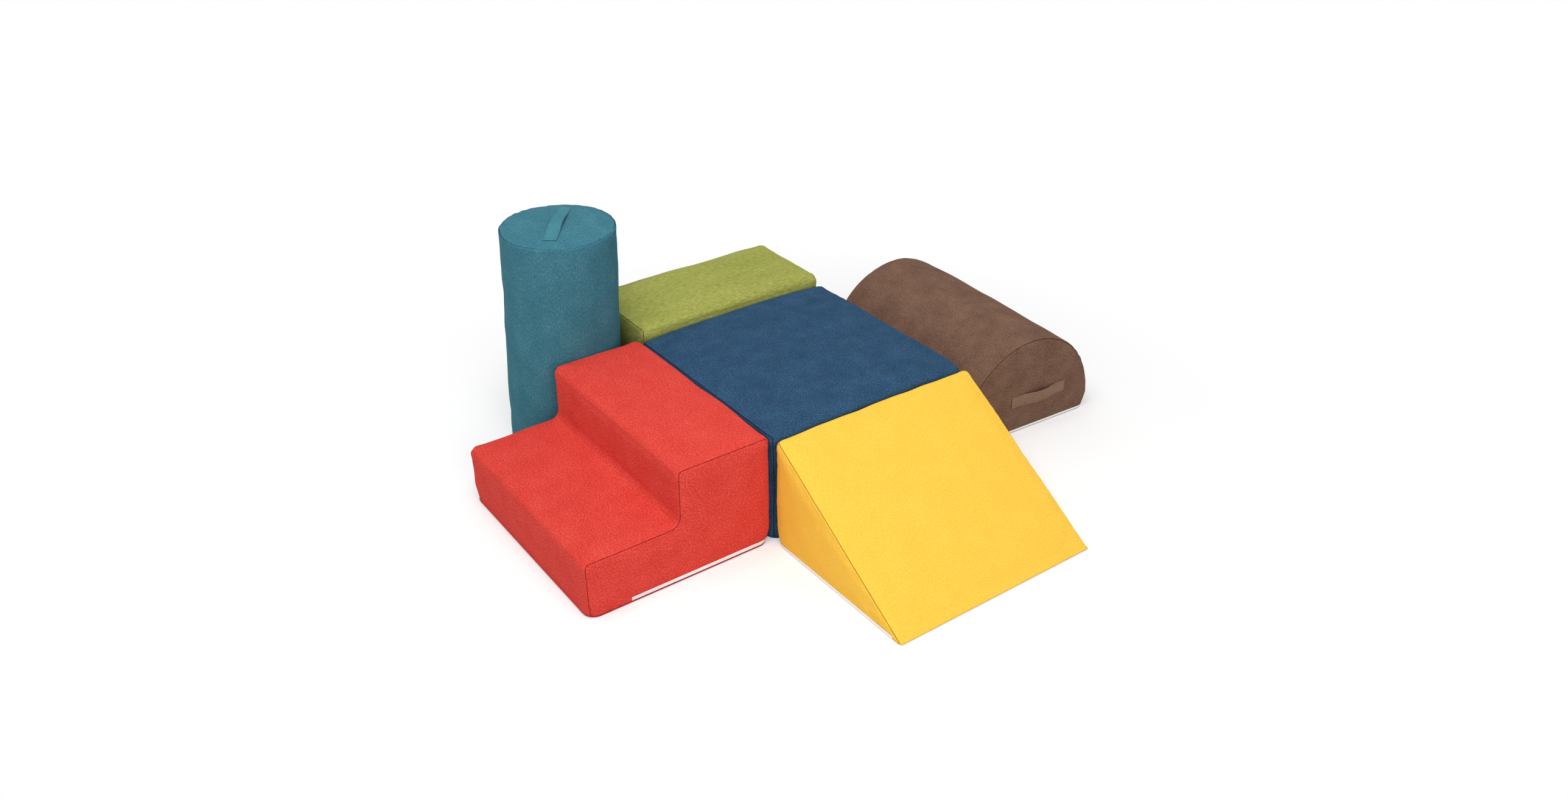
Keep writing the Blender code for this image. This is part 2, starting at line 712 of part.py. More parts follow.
# Half round, a little askew, with a strap on the end that faces -Y
place = add_place("arch", ARCH_CENTRE_X, ARCH_CENTRE_Y, HALF_TURN + ARCH_TURN, ARCH_SPAN)
half = ARCH_LENGTH / 2
centre = (ARCH_SPAN / 2, ARCH_HEIGHT / 3)
zip_end = ARCH_SPAN - ARCH_ZIP_START
outline = half_round_outline(ARCH_STEPS)
add_cover("arch", outline, ARCH_SPAN, half, centre, place, zip_end, NARROW_ZIP)
add_base("arch", ARCH_SPAN, half, place, NARROW_RIM, corner_radius(NARROW_RIM))
add_zip("arch", half, -1, place, zip_end, NARROW_ZIP)
add_core("arch_foam_core", half_round_outline(ARCH_STEPS // 2), half, ARCH_SPAN, centre, place)
upright = Matrix.Rotation(-RIGHT_ANGLE, 4, "X")
strap_middle = Vector((ARCH_SPAN / 2 - ARCH_STRAP_OFFSET, half, ARCH_STRAP_HEIGHT))
add_strap("arch_carry_strap", end_panel(outline, half, 1, centre), ARCH_STRAP_LENGTH, ARCH_STRAP_RISE,
          Matrix.Translation(strap_middle) @ upright, place, fabric_finish("arch"))

# Roll, which stands in the corner between the steps and the beam and leans on both
roll_taper = ROLL_BASE_RADIUS - ROLL_TOP_RADIUS
lean_at_beam = (ROLL_LEAN_X - roll_taper) * BEAM_HEIGHT / ROLL_HEIGHT
lean_at_steps = -(ROLL_LEAN_Y + roll_taper) * STEPS_HEIGHT / ROLL_HEIGHT
roll_x = BEAM_SHIFT - (BEAM_WIDTH / 2 + CROWN + MODULE_GAP + ROLL_BASE_RADIUS + lean_at_beam)
roll_y = STEPS_SHIFT + STEPS_WIDTH / 2 + CROWN + MODULE_GAP + ROLL_BASE_RADIUS + lean_at_steps
place = add_empty("roll_place", roll_x, roll_y, 0)


def roll_angles(steps):
    return [ROLL_SEAM_ANGLE + FULL_TURN * i / steps for i in range(steps)]


def roll_ring(angles, z, inset, share=1):
    """Points round the roll at a height; inset draws them in and share shrinks them to the middle."""
    rise = z / ROLL_HEIGHT
    radius = (ROLL_BASE_RADIUS - roll_taper * rise - inset) * share
    x = ROLL_LEAN_X * rise
    y = ROLL_LEAN_Y * rise
    return [(x + radius * math.cos(a), y + radius * math.sin(a), z) for a in angles]


def roll_edge(angles, angle, inset):
    """Points round the rounding of the roll's top edge; angle 0 is the side."""
    radius = ROLL_EDGE_ROUND - inset
    z = ROLL_HEIGHT - ROLL_EDGE_ROUND + radius * math.sin(angle)
    return roll_ring(angles, z, ROLL_EDGE_ROUND - radius * math.cos(angle))


def roll_side(angles, shares, low, seam, steps, inset):
    """Rows from the foot of the tube to its seam with the top."""
    high = ROLL_HEIGHT - ROLL_EDGE_ROUND
    rows = [roll_ring(angles, low + (high - low) * share, inset) for share in shares]
    rows += [roll_edge(angles, seam * step / steps, inset) for step in range(1, steps + 1)]
    return rows


def roll_top(angles, shares, seam, steps, inset):
    """Rows from the seam to the middle of the domed top."""
    span = RIGHT_ANGLE - seam
    rows = [roll_edge(angles, seam + span * step / steps, inset) for step in range(steps + 1)]
    rim = ROLL_EDGE_ROUND / ROLL_TOP_RADIUS
    for share in (*shares, 0):
        z = ROLL_HEIGHT - inset + CROWN * (1 - share ** DOME_POWER)
        rows.append(roll_ring(angles, z, 0, share * (1 - rim)))
    return rows[:-1], rows[-1][0]


lower, upper, skin_edge = hem_levels(WIDE_RIM, WIDE_TAPE)
seam = RIGHT_ANGLE * SEAM_SHARE
half_gap = SEAM_GAP / 2 / ROLL_EDGE_ROUND
angles = roll_angles(ROLL_STEPS)
step_angle = FULL_TURN / ROLL_STEPS

side_gap = SEAM_GAP / 2 / ROLL_BASE_RADIUS
open_angles = [ROLL_SEAM_ANGLE + side_gap, *angles[1:], ROLL_SEAM_ANGLE + FULL_TURN - side_gap]
mesh_data = bmesh.new()
skins = []
for inset in (0, FABRIC):
    rows = roll_side(open_angles, ROLL_FACE_SHARES, lower, seam - half_gap, EDGE_STEPS, inset)
    skins.append(add_rows(mesh_data, rows, False))
outer, inner = skins
for row in (0, -1):
    join_rows(mesh_data, outer[row], inner[row], False)
for column in (0, -1):
    join_rows(mesh_data, [row[column] for row in outer], [row[column] for row in inner], False)
tube = add_object("roll_tube_panel", mesh_data, place, fabric_finish("roll"))

zip_from = ROLL_SEAM_ANGLE - ROLL_ZIP_STEPS_BEFORE * step_angle
zip_steps = ROLL_ZIP_STEPS_BEFORE + ROLL_ZIP_STEPS_AFTER
zip_angles = [zip_from + step_angle * i for i in range(zip_steps + 1)]
tape_gap = FIT_GAP / ROLL_BASE_RADIUS
slot_angles = [zip_angles[0] - tape_gap, *zip_angles[1:-1], zip_angles[-1] + tape_gap]
slot_rows = []
for angle in slot_angles:
    corners = [(-OVERRUN, 0), (-OVERRUN, skin_edge), (OVERRUN, skin_edge), (OVERRUN, 0)]
    slot_rows.append([roll_ring([angle], z, inset)[0] for inset, z in corners])
mesh_data = bmesh.new()
verts = add_rows(mesh_data, slot_rows, True)
mesh_data.faces.new(verts[0])
mesh_data.faces.new(verts[-1])
cut_with(tube, add_cutter("roll_zip_cutter", mesh_data, place))


def roll_top_mesh():
    mesh_data = bmesh.new()
    skins = []
    for inset in (0, FABRIC):
        rows, tip = roll_top(angles, RING_SHARES, seam + half_gap, EDGE_STEPS, inset)
        skin = add_rows(mesh_data, rows, True)
        close_row(mesh_data, skin[-1], tip)
        skins.append(skin)
    join_rows(mesh_data, skins[0][0], skins[1][0], True)
    return mesh_data


add_object("roll_top_panel", roll_top_mesh(), place, fabric_finish("roll"))

core_angles = roll_angles(ROLL_STEPS // 2)
core_inset = FABRIC + FIT_GAP
core_rows = roll_side(core_angles, ROLL_CORE_FACE_SHARES, CORE_FLOOR, seam, 1, core_inset)
top_rows, tip = roll_top(core_angles, RING_SHARES, seam, 1, core_inset)
mesh_data = bmesh.new()
verts = add_rows(mesh_data, core_rows + top_rows[1:], True)
mesh_data.faces.new(verts[0])
close_row(mesh_data, verts[-1], tip)
add_object("roll_foam_core", mesh_data, place, FOAM_FINISH)

loops = [[(x, y) for x, y, z in roll_ring(angles, 0, inset)] for inset in (0, BASE_FABRIC)]
add_object("roll_base_panel", base_tray(*loops, WIDE_RIM), place, fabric_finish("roll"))


def roll_hem_path(inset, z):
    return [(x, y) for x, y, height in roll_ring(zip_angles, z, inset)]


for name, low, slit_on_top in (("lower", lower, True), ("upper", upper, False)):
    band = tape_band(tape_section(low, WIDE_TAPE, slit_on_top), roll_hem_path)
    add_object(f"roll_zip_{name}_tape", band, place, TAPE_FINISH)
slider = add_object("roll_zip_slider", slider_mesh(WIDE_SLIDER, SLIDER_LENGTH), place, METAL_FINISH)
hem_rise = upper / ROLL_HEIGHT
park = zip_angles[-1] - step_angle / 2
turn = add_empty("roll_zip_turn", ROLL_LEAN_X * hem_rise, ROLL_LEAN_Y * hem_rise, park)
turn.parent = place
slider.parent = turn
facet_reach = (ROLL_BASE_RADIUS - roll_taper * hem_rise) * math.cos(step_angle / 2)
slider.location = (facet_reach + SLIDER_CLEARANCE, 0, upper - FIT_GAP / 2)
slider.rotation_euler = (0, 0, -RIGHT_ANGLE)

strap_turn = Matrix.Rotation(ROLL_STRAP_ANGLE, 4, "Z")
strap_middle = Vector((ROLL_LEAN_X, ROLL_LEAN_Y, ROLL_HEIGHT))
add_strap("roll_carry_strap", roll_top_mesh(), ROLL_STRAP_LENGTH, ROLL_STRAP_RISE,
          Matrix.Translation(strap_middle) @ strap_turn, place, fabric_finish("roll"))
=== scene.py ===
"""Looks of a soft play foam climber: six foam blocks in sewn covers, with zips and carry straps."""
import math
from collections import namedtuple

import bmesh
import bpy
import numpy as np
from mathutils import Matrix, Vector
from mathutils.bvhtree import BVHTree


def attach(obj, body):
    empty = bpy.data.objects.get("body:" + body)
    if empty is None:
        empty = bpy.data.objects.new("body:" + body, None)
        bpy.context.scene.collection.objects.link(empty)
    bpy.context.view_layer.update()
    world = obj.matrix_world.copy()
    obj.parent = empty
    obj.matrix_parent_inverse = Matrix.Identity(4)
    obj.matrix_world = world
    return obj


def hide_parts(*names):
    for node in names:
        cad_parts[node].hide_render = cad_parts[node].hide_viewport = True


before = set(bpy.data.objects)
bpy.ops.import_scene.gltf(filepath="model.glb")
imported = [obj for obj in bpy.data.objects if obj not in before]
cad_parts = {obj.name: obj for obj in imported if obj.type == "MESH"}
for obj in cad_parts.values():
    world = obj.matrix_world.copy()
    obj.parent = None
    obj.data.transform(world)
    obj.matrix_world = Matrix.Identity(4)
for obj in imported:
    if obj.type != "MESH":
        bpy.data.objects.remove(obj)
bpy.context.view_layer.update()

# Platform
# A square foam block in a blue brushed cover. One strip of cloth runs over the front, top and back,
# and an end is sewn into each side; the seams turn in and the stuffed faces stand out between them.

CELL = 0.014
UNDER_CELL = 0.035
# Size of an end panel's innermost ring of points, as a share of the panel
INNERMOST = 0.06
EDGE_ROUND = 0.009
FOLD_ROUND = 0.014
CORNER_TUCK = 0.035
TUCK_HEIGHT = 0.065
UNDERLAP = 0.010
FOLD_SHARE = 0.7
FACE_CROWN = 0.003
STUFFED_CROWN = 0.8
BLOCK_GAP = 0.0005
MODULE_GAP = 2 * FACE_CROWN + BLOCK_GAP
FOAM_INSET = 0.0075
FOAM_CELL = 0.030
FLAT_GIVE = (0.0022, 0.0022, 0.0028)
QUARTER = math.radians(90)


def profile(corners, folds, lift, cell=CELL, overhang=UNDERLAP):
    """Marks (x, z, normal x, normal z, crown) along a block's side view, and where its outer folds are."""
    ways = [Vector(b) - Vector(a) for a, b in zip(corners, corners[1:])]
    faces = [Vector((way.y, -way.x)).normalized() for way in ways]
    turns = [a.angle_signed(b) * -1 for a, b in zip(faces, faces[1:])]
    cuts = [0, *[r * math.tan(abs(t) / 2) for r, t in zip(folds, turns)], 0]
    rims = [FOLD_SHARE, *[FOLD_SHARE if t > 0 else 0 for t in turns], FOLD_SHARE]
    marks, crests = [], []
    for i, (way, face) in enumerate(zip(ways, faces)):
        along = way.normalized()
        start = Vector(corners[i]) + along * cuts[i]
        length = way.length - cuts[i] - cuts[i + 1]
        shares = list(np.linspace(0, 1, max(2, round(length / cell)) + 1))
        if i == 0:
            shares.insert(0, -overhang / length)
        if i == len(ways) - 1:
            shares.append(1 + UNDERLAP / length)
        bulge = FACE_CROWN + lift * max(0, face.y)
        for u in shares:
            rim = rims[i] + (rims[i + 1] - rims[i]) * u
            point = start + along * length * u
            dome = rim + (1 - rim) * max(0, 1 - abs(2 * u - 1) ** 3)
            marks.append((*point, *face, bulge * dome))
        if i < len(turns):
            side = math.copysign(1, turns[i])
            hub = point - face * folds[i] * side
            steps = 6 if cell == CELL else 3
            for step in range(1, steps):
                normal = Matrix.Rotation(turns[i] * step / steps, 2) @ face
                point = hub + normal * folds[i] * side
                crown = (FACE_CROWN + lift * max(0, normal.y)) * rims[i + 1]
                marks.append((*point, *normal, crown))
                if side > 0 and 2 * step == steps:
                    crests.append(len(marks) - 1)
    return np.array(marks), crests


def corner_round(z):
    """Radius of an upright edge at a height: rounder near the floor, where the cloth is tucked in."""
    return EDGE_ROUND + (CORNER_TUCK - EDGE_ROUND) * np.maximum(0, 1 - z / TUCK_HEIGHT) ** 2


def off_floor(z):
    """A face stays flat at its hem and stands out a little higher up."""
    return 1 - (1 - np.clip((z - 0.020) / 0.080, 0, 1)) ** 2


def close_under(row, steps):
    """The same row, closed by points under the block."""
    shares = np.linspace(0, 1, steps + 1)[1:-1, None]
    return np.vstack([row, row[-1] + (row[0] - row[-1]) * shares])


def cover_grid(marks, half, centre, crowned, inset=0, cell=CELL, edge_steps=4):
    """Closed rows of points from the middle of one end over the wrap to the middle of the other end."""
    x, z, out_x, out_z, crown = marks.T
    upright = (np.abs(out_z) < 0.01) & (z < TUCK_HEIGHT)
    edge = np.where(upright, corner_round(z), EDGE_ROUND)

    def edge_row(angle, side):
        drop = edge - (edge - inset) * math.cos(angle)
        across = side * (half - edge + (edge - inset) * math.sin(angle))
        return np.stack([x - out_x * drop, across, z - out_z * drop], 1)

    def end_rows(side):
        rim = edge_row(QUARTER, side)
        rows = []
        reach = np.abs(rim[:, [0, 2]] - centre).max()
        for share in np.linspace(INNERMOST, 1, max(4, round(reach / cell)) + 1)[:-1]:
            row = rim.copy()
            row[:, 0] = centre[0] + (row[:, 0] - centre[0]) * share
            row[:, 2] = centre[1] + (row[:, 2] - centre[1]) * share
            row[:, 1] += side * crowned * FACE_CROWN * (1 - share ** 3) * off_floor(row[:, 2])
            rows.append(row)
        angles = np.linspace(QUARTER, QUARTER / 2, edge_steps + 1)[:-1]
        return rows + [edge_row(angle, side) for angle in angles]

    angles = np.linspace(QUARTER / 2, 0, edge_steps + 1)
    wrap = [edge_row(angle, -1) for angle in angles]
    for share in np.linspace(-1, 1, max(2, round(2 * half / cell)) + 1)[1:-1]:
        bulge = crowned * crown * (1 - share ** 4) * off_floor(z) - inset
        wrap.append(np.stack([x + out_x * bulge, share * (half - edge), z + out_z * bulge], 1))
    wrap += [edge_row(angle, 1) for angle in reversed(angles)]
    left, right = end_rows(-1), end_rows(1)
    rows = left + wrap + right[::-1]
    under = max(3, round(abs(x[-1] - x[0]) / UNDER_CELL))
    return np.array([close_under(row, under) for row in rows]), len(left), len(left) + len(wrap) - 1


def skin(rows, closed, poles=(), uv=None, from_seam=None):
    """A mesh of the faces between rows of points; poles close its first and last row."""
    mesh = bmesh.new()
    grid = [[mesh.verts.new(p) for p in row] for row in rows]
    count = len(rows[0])
    for near, far in zip(grid, grid[1:]):
        for i in range(count if closed else count - 1):
            j = (i + 1) % count
            mesh.faces.new((near[i], near[j], far[j], far[i]))
    tips = []
    for row, pole in zip((grid[0], grid[-1]), poles):
        tips.append(mesh.verts.new(pole))
        for i, vert in enumerate(row):
            mesh.faces.new((vert, row[(i + 1) % count], tips[-1]))
    if uv is None:
        return mesh
    if from_seam is None:
        from_seam = np.ones(rows.shape[:2])
    places = {v: (uv[k][i], from_seam[k][i]) for k, row in enumerate(grid) for i, v in enumerate(row)}
    for tip in tips:
        places[tip] = (np.mean(uv[0], 0), 1)
    # The second map holds each point's distance from a seam, which sets the painted seam shade
    cloth, seam = [mesh.loops.layers.uv.new(name) for name in ("cloth metres", "seam metres")]
    for face in mesh.faces:
        face.smooth = True
        for loop in face.loops:
            place, distance = places[loop.vert]
            loop[cloth].uv = place
            loop[seam].uv = (distance, 0)
    return mesh


STUFFING_FRAMES = 20
HEM_HEIGHT = 0.018


def stuffed(rows, pinned_rows, limits, pressure=4.0, shrink=-0.004, firmness=0.85):
    """The rows after a cloth simulation that blows the cover up between its seams and its hem."""
    poles = (rows[0].mean(0), rows[-1].mean(0))
    shape = skin(rows, True, poles)
    bmesh.ops.recalc_face_normals(shape, faces=shape.faces)
    mesh = bpy.data.meshes.new("stuffing")
    shape.to_mesh(mesh)
    shape.free()
    bag = bpy.data.objects.new("stuffing", mesh)
    bpy.context.scene.collection.objects.link(bag)
    count = rows.shape[1]
    held = [k * count + i for k in pinned_rows for i in range(count)]
    held += [k * count + i for k in range(len(rows)) for i in range(count) if rows[k][i][2] < HEM_HEIGHT]
    group = bag.vertex_groups.new(name="held")
    group.add(sorted(set(held)), 1, "REPLACE")
    cloth = bag.modifiers.new("cloth", "CLOTH")
    settings = cloth.settings
    settings.vertex_group_mass = "held"
    settings.use_pressure = True
    settings.uniform_pressure_force = pressure
    settings.shrink_min = shrink
    settings.quality = 4
    settings.effector_weights.gravity = 0
    cloth.point_cache.frame_start = 1
    cloth.point_cache.frame_end = STUFFING_FRAMES
    cloth.collision_settings.use_collision = False
    scene = bpy.context.scene
    for moment in range(1, STUFFING_FRAMES + 1):
        scene.frame_set(moment)
    result = bag.evaluated_get(bpy.context.evaluated_depsgraph_get()).to_mesh()
    points = np.zeros(len(result.vertices) * 3)
    result.vertices.foreach_get("co", points)
    points = points.reshape(-1, 3)[:rows.shape[0] * count].reshape(rows.shape)
    bpy.data.objects.remove(bag)
    scene.frame_set(1)
    limits = np.array(limits)
    moved = limits * np.tanh((points - rows) / limits)
    # The foam behind the cloth holds it out, so that hardly any of it sinks in
    normals = outward(rows)
    sunk = np.minimum(0, (moved * normals).sum(2, keepdims=True))
    return rows + moved - normals * sunk * firmness


def halfway(rows, closed):
    """Twice as many points along the first axis, on a smooth curve through the given ones."""
    if closed:
        run = np.concatenate([rows[-1:], rows, rows[:2]])
    else:
        run = np.concatenate([2 * rows[:1] - rows[1:2], rows, 2 * rows[-1:] - rows[-2:-1]])
    between = (9 * (run[1:-2] + run[2:-1]) - run[:-3] - run[3:]) / 16
    finer = np.empty((len(rows) + len(between), *rows.shape[1:]))
    finer[0::2], finer[1::2] = rows, between
    return finer


def finer_grid(rows):
    """One subdivision of closed rows."""
    rows = halfway(rows, False)
    return halfway(rows.swapaxes(0, 1), True).swapaxes(0, 1)


def outward(rows):
    """Normals of closed rows, turned away from the middle."""
    down = np.gradient(rows, axis=0)
    round_it = np.roll(rows, -1, 1) - np.roll(rows, 1, 1)
    normals = np.cross(down, round_it)
    normals /= np.linalg.norm(normals, axis=2, keepdims=True) + 1e-12
    if (normals * (rows - rows.mean((0, 1)))).sum() < 0:
        normals = -normals
    return normals


def ripple(points, size, seed):
    """Smooth unevenness of about that size, from a few seeded waves."""
    rng = np.random.default_rng(seed)
    total = 0
    for _ in range(7):
        way = rng.normal(size=3)
        way *= 2 * math.pi / size * rng.uniform(0.6, 1.3) / np.linalg.norm(way)
        total = total + np.sin(points @ way + rng.uniform(0, 2 * math.pi))
    return total / 3


def steps_along(rows, axis):
    """Distance along an axis of the rows, from their first point."""
    lengths = np.linalg.norm(np.diff(rows, axis=axis), axis=2)
    return np.insert(np.cumsum(lengths, axis=axis), 0, 0, axis=axis)


WIDE_HOLLOWS = 0.19
SMALL_HOLLOWS = 0.065
PUCKER_PITCH = 0.036
PUCKER_DRIFT = 0.23
PUCKER_REACH = 0.014
PUCKER_PATCHES = 0.11
# Creases fan out from a corner in a ring round it
CREASES = 7
CREASE_DEPTH = 0.0008
CREASE_RADIUS = 0.045
CREASE_WIDTH = 0.035
# At the corner itself the seams pull the cloth in, and it bulges a little round that nip
NIP_DEPTH = 0.0026
NIP_SIZE = 0.008
NIP_BULGE = 0.0011
NIP_BULGE_RADIUS = 0.017


def worn_in(rows, seams, corners, seed, soft=0.0011, pucker=0.0005):
    """Unevenness of stuffed cloth: soft hollows, puckers along seams, and creases and a nip at corners.
    Also each point's distance from a seam, cut down at the corners, which sets the painted seam shade.
    """
    normals = outward(rows)
    across = steps_along(rows, 0)
    near = np.min([np.abs(across - across[k]) for k in seams], 0)
    along = steps_along(rows, 1)[seams[0]][None, :]
    lift = soft * ripple(rows, WIDE_HOLLOWS, seed) + 0.35 * soft * ripple(rows, SMALL_HOLLOWS, seed + 1)
    drift = 2.2 * np.sin(along * 2 * math.pi / PUCKER_DRIFT + seed)
    wave = np.sin(along * 2 * math.pi / PUCKER_PITCH + drift)
    lift = lift + pucker * np.exp(-near / PUCKER_REACH) * wave * ripple(rows, PUCKER_PATCHES, seed + 2)
    for place, _ in corners:
        way = rows - np.array(place)
        reach = np.linalg.norm(way, axis=2)
        flat = way - normals * (way * normals).sum(2, keepdims=True)
        fan = np.arctan2(flat[..., 1] + flat[..., 2], flat[..., 0] - flat[..., 2])
        ring = np.exp(-((reach - CREASE_RADIUS) / CREASE_WIDTH) ** 2)
        lift = lift + CREASE_DEPTH * ring * np.sin(CREASES * fan + seed)
    fade = np.clip((rows[..., 2] - HEM_HEIGHT) / 0.03, 0, 1)
    rows = rows + normals * (lift * fade)[..., None]
    for place, way in corners:
        reach = np.linalg.norm(rows - np.array(place), axis=2)
        # Cutting the distance down near a corner paints a small wedge of shade at its nip
        near = np.minimum(near, np.maximum(0, reach - 0.0015) * 0.5)
        nip = NIP_DEPTH * np.exp(-(reach / NIP_SIZE) ** 2)
        nip = nip - NIP_BULGE * np.exp(-((reach - NIP_BULGE_RADIUS) / NIP_SIZE) ** 2)
        rows = rows - np.array(way) * nip[..., None]
    return rows, normals, near


# How far each row of a turned-in edge stands back from the seam, and how deep it lies
LIP_STEPS = ((0.0012, 0.0002), (0.0005, 0.0010), (0.00003, 0.0036))


def lip(edge, inner, normals):
    """Three rows that turn a panel's edge in at a seam, from the surface down into the groove."""
    way = inner - edge
    way /= np.linalg.norm(way, axis=-1, keepdims=True) + 1e-12
    return [edge + way * back - normals * deep for back, deep in LIP_STEPS]


HEM_TURN = 0.0022
HEM_RISE = 0.0003
TOUCHING = 1e-5


def trimmed(mesh, low, slot_top, ends, opened):
    """Cuts the cover off above the base, and higher up where its zip runs, and turns its hem in."""
    def cut(parts, point, way, clear=False):
        around = [*parts, *[e for f in parts for e in f.edges], *[v for f in parts for v in f.verts]]
        geom = list(dict.fromkeys(around))
        bmesh.ops.bisect_plane(mesh, geom=geom, plane_co=point, plane_no=way, clear_inner=clear, dist=1e-6)

    def on_end(edge):
        return any(all(v.co.z < slot_top + TOUCHING
                       and abs((v.co - Vector(point)).dot(Vector(way))) < TOUCHING
                       for v in edge.verts) for point, way in ends)

    cut(mesh.faces[:], (0, 0, low), (0, 0, 1), True)
    cut([f for f in mesh.faces if min(v.co.z for v in f.verts) < slot_top], (0, 0, slot_top), (0, 0, 1))
    for point, way in ends:
        cut([f for f in mesh.faces if f.calc_center_median().z < slot_top], point, way)
    under = [f for f in mesh.faces if f.calc_center_median().z < slot_top]
    bmesh.ops.delete(mesh, geom=[f for f in under if opened(f.calc_center_median())], context="FACES")
    mesh.normal_update()
    turned = {}
    for edge in [e for e in mesh.edges if e.is_boundary]:
        level = any(all(abs(v.co.z - height) < TOUCHING for v in edge.verts) for height in (low, slot_top))
        if not (level or on_end(edge)):
            continue
        for vert in edge.verts:
            if vert not in turned:
                way = Vector((vert.normal.x, vert.normal.y, 0)).normalized()
                turned[vert] = mesh.verts.new(vert.co - way * HEM_TURN + Vector((0, 0, HEM_RISE)))
        a, b = edge.verts
        if edge.link_loops[0].vert == a:
            a, b = b, a
        mesh.faces.new((a, b, turned[b], turned[a])).smooth = True
    return mesh


# What the pieces of one block share. A straight-sided block also has half its width, its depth from back
# to front, the centre (x, z) of its ends seen from the side, and the place where its zip ends
Block = namedtuple("Block", "name place finish zip_sizes half depth centre zip_end", defaults=[None] * 4)


def as_piece(block, part, mesh, finish, replaced=(), place=None):
    """A finished piece of a block, on the block's body, in place of CAD nodes."""
    name = f"{block.name}_{part}"
    data = bpy.data.meshes.new(name)
    mesh.transform(block.place if place is None else place)
    mesh.to_mesh(data)
    mesh.free()
    data.materials.append(finish)
    piece = bpy.data.objects.new(name, data)
    bpy.context.scene.collection.objects.link(piece)
    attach(piece, block.name + "_block")
    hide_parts(*[f"{block.name}_{node}" for node in replaced])


def linear(code, alpha=1.0):
    """An sRGB hex colour as a linear one."""
    parts = [int(code[i:i + 2], 16) / 255 for i in (1, 3, 5)]
    return (*[p / 12.92 if p <= 0.04045 else ((p + 0.055) / 1.055) ** 2.4 for p in parts], alpha)


def add_node(tree, kind, settings=(), links=()):
    """One shader node with its settings, (name, value), and its links, (socket, source)."""
    node = tree.nodes.new(kind)
    for name, value in settings:
        if isinstance(name, str) and hasattr(node, name):
            setattr(node, name, value)
        else:
            node.inputs[name].default_value = value
    for name, source in links:
        tree.links.new(source, node.inputs[name])
    return node


def blank_finish(name):
    """A new material, its node tree and its shader."""
    material = bpy.data.materials.new(name)
    material.use_nodes = True
    return material, material.node_tree, material.node_tree.nodes["Principled BSDF"]


def brushed_cloth(name, dark, middle, light, streak=(1, 1), patch_depth=0.3, thread_depth=0.95, painted_seam_shade=0.66):
    """Woven polyester upholstery with a brushed face: a matt heather of darker and lighter threads,
    with soft patches where the nap lies another way and a faint sheen at glancing angles, and with
    painted shade along its seams and at its corner nips."""
    material, tree, shader = blank_finish(name)
    metres = add_node(tree, "ShaderNodeUVMap", [("uv_map", "cloth metres")]).outputs["UV"]
    drawn = add_node(tree, "ShaderNodeMapping", [("Scale", (*streak, 1))], [("Vector", metres)]).outputs[0]
    nap = add_node(tree, "ShaderNodeTexNoise", [("Scale", 1 / 0.07), ("Detail", 5.0), ("Roughness", 0.75)],
                   [("Vector", drawn)]).outputs["Fac"]
    # Threads lie 1 mm apart; they are drawn 4 mm apart so that they show
    heather = add_node(tree, "ShaderNodeTexNoise",
                       [("Scale", 1 / 0.004), ("Detail", 3.0), ("Roughness", 0.7)],
                       [("Vector", drawn)]).outputs["Fac"]
    nap_part = add_node(tree, "ShaderNodeMapRange",
                        [("From Min", 0.3), ("From Max", 0.7), ("To Min", 0.5 - patch_depth / 2),
                         ("To Max", 0.5 + patch_depth / 2)], [("Value", nap)]).outputs[0]
    thread_part = add_node(tree, "ShaderNodeMapRange",
                           [("From Min", 0.25), ("From Max", 0.75), ("To Min", -thread_depth / 2),
                            ("To Max", thread_depth / 2)], [("Value", heather)]).outputs[0]
    shade = add_node(tree, "ShaderNodeMath", [("operation", "ADD")],
                     [(0, nap_part), (1, thread_part)]).outputs[0]
    ramp = add_node(tree, "ShaderNodeValToRGB", links=[("Fac", shade)])
    stops = ramp.color_ramp.elements
    stops[0].color, stops[1].color = linear(dark), linear(light)
    stops.new(0.5).color = linear(middle)
    # Painted shade: the colour is darkened within a few millimetres of a seam, where the cloth dives into
    # its groove
    reach = add_node(tree, "ShaderNodeUVMap", [("uv_map", "seam metres")]).outputs["UV"]
    reach = add_node(tree, "ShaderNodeSeparateXYZ", links=[("Vector", reach)]).outputs["X"]
    shadow = add_node(tree, "ShaderNodeMapRange",
                      [("From Max", 0.0023), ("To Min", painted_seam_shade), ("To Max", 1.0)],
                      [("Value", reach)]).outputs[0]
    colour = add_node(tree, "ShaderNodeVectorMath", [("operation", "SCALE")],
                      [(0, ramp.outputs["Color"]), ("Scale", shadow)]).outputs[0]
    tree.links.new(colour, shader.inputs["Base Color"])
    bump = add_node(tree, "ShaderNodeBump", [("Strength", 0.35), ("Distance", 0.0008)],
                    [("Height", heather)])
    tree.links.new(bump.outputs[0], shader.inputs["Normal"])
    shader.inputs["Roughness"].default_value = 0.95
    shader.inputs["Specular IOR Level"].default_value = 0.12
    shader.inputs["Sheen Weight"].default_value = 0.06
    shader.inputs["Sheen Roughness"].default_value = 0.5
    shader.inputs["Sheen Tint"].default_value = linear(light)
    return material


def stand(x, y, turn, depth):
    """A block's place: its depth runs along local +X from its back edge."""
    centred = Matrix.Translation((-depth / 2, 0, 0))
    return Matrix.Translation((x, y, 0)) @ Matrix.Rotation(turn, 4, "Z") @ centred


# Height of the rim under each zip, of its lower tape and of its upper tape
WIDE_ZIP = (0.005, 0.0047, 0.0047)
NARROW_ZIP = (0.002, 0.0018, 0.0042)
SEW_GAP = 0.0003


def hem_levels(rim, lower_tape, upper_tape):
    """Heights of the lower tape, the upper tape and the cover's edge above a zip."""
    lower = rim + SEW_GAP
    upper = lower + lower_tape + SEW_GAP
    return lower, upper, upper + upper_tape + SEW_GAP


def sagged(rows, sags):
    """Rows where the foam has given way or swollen: each place moves by a shift that fades out."""
    for place, shift, reach in sags:
        way = (rows - np.array(place)) / np.array(reach)
        rows = rows + np.array(shift) * np.exp(-(way ** 2).sum(2, keepdims=True))
    return rows


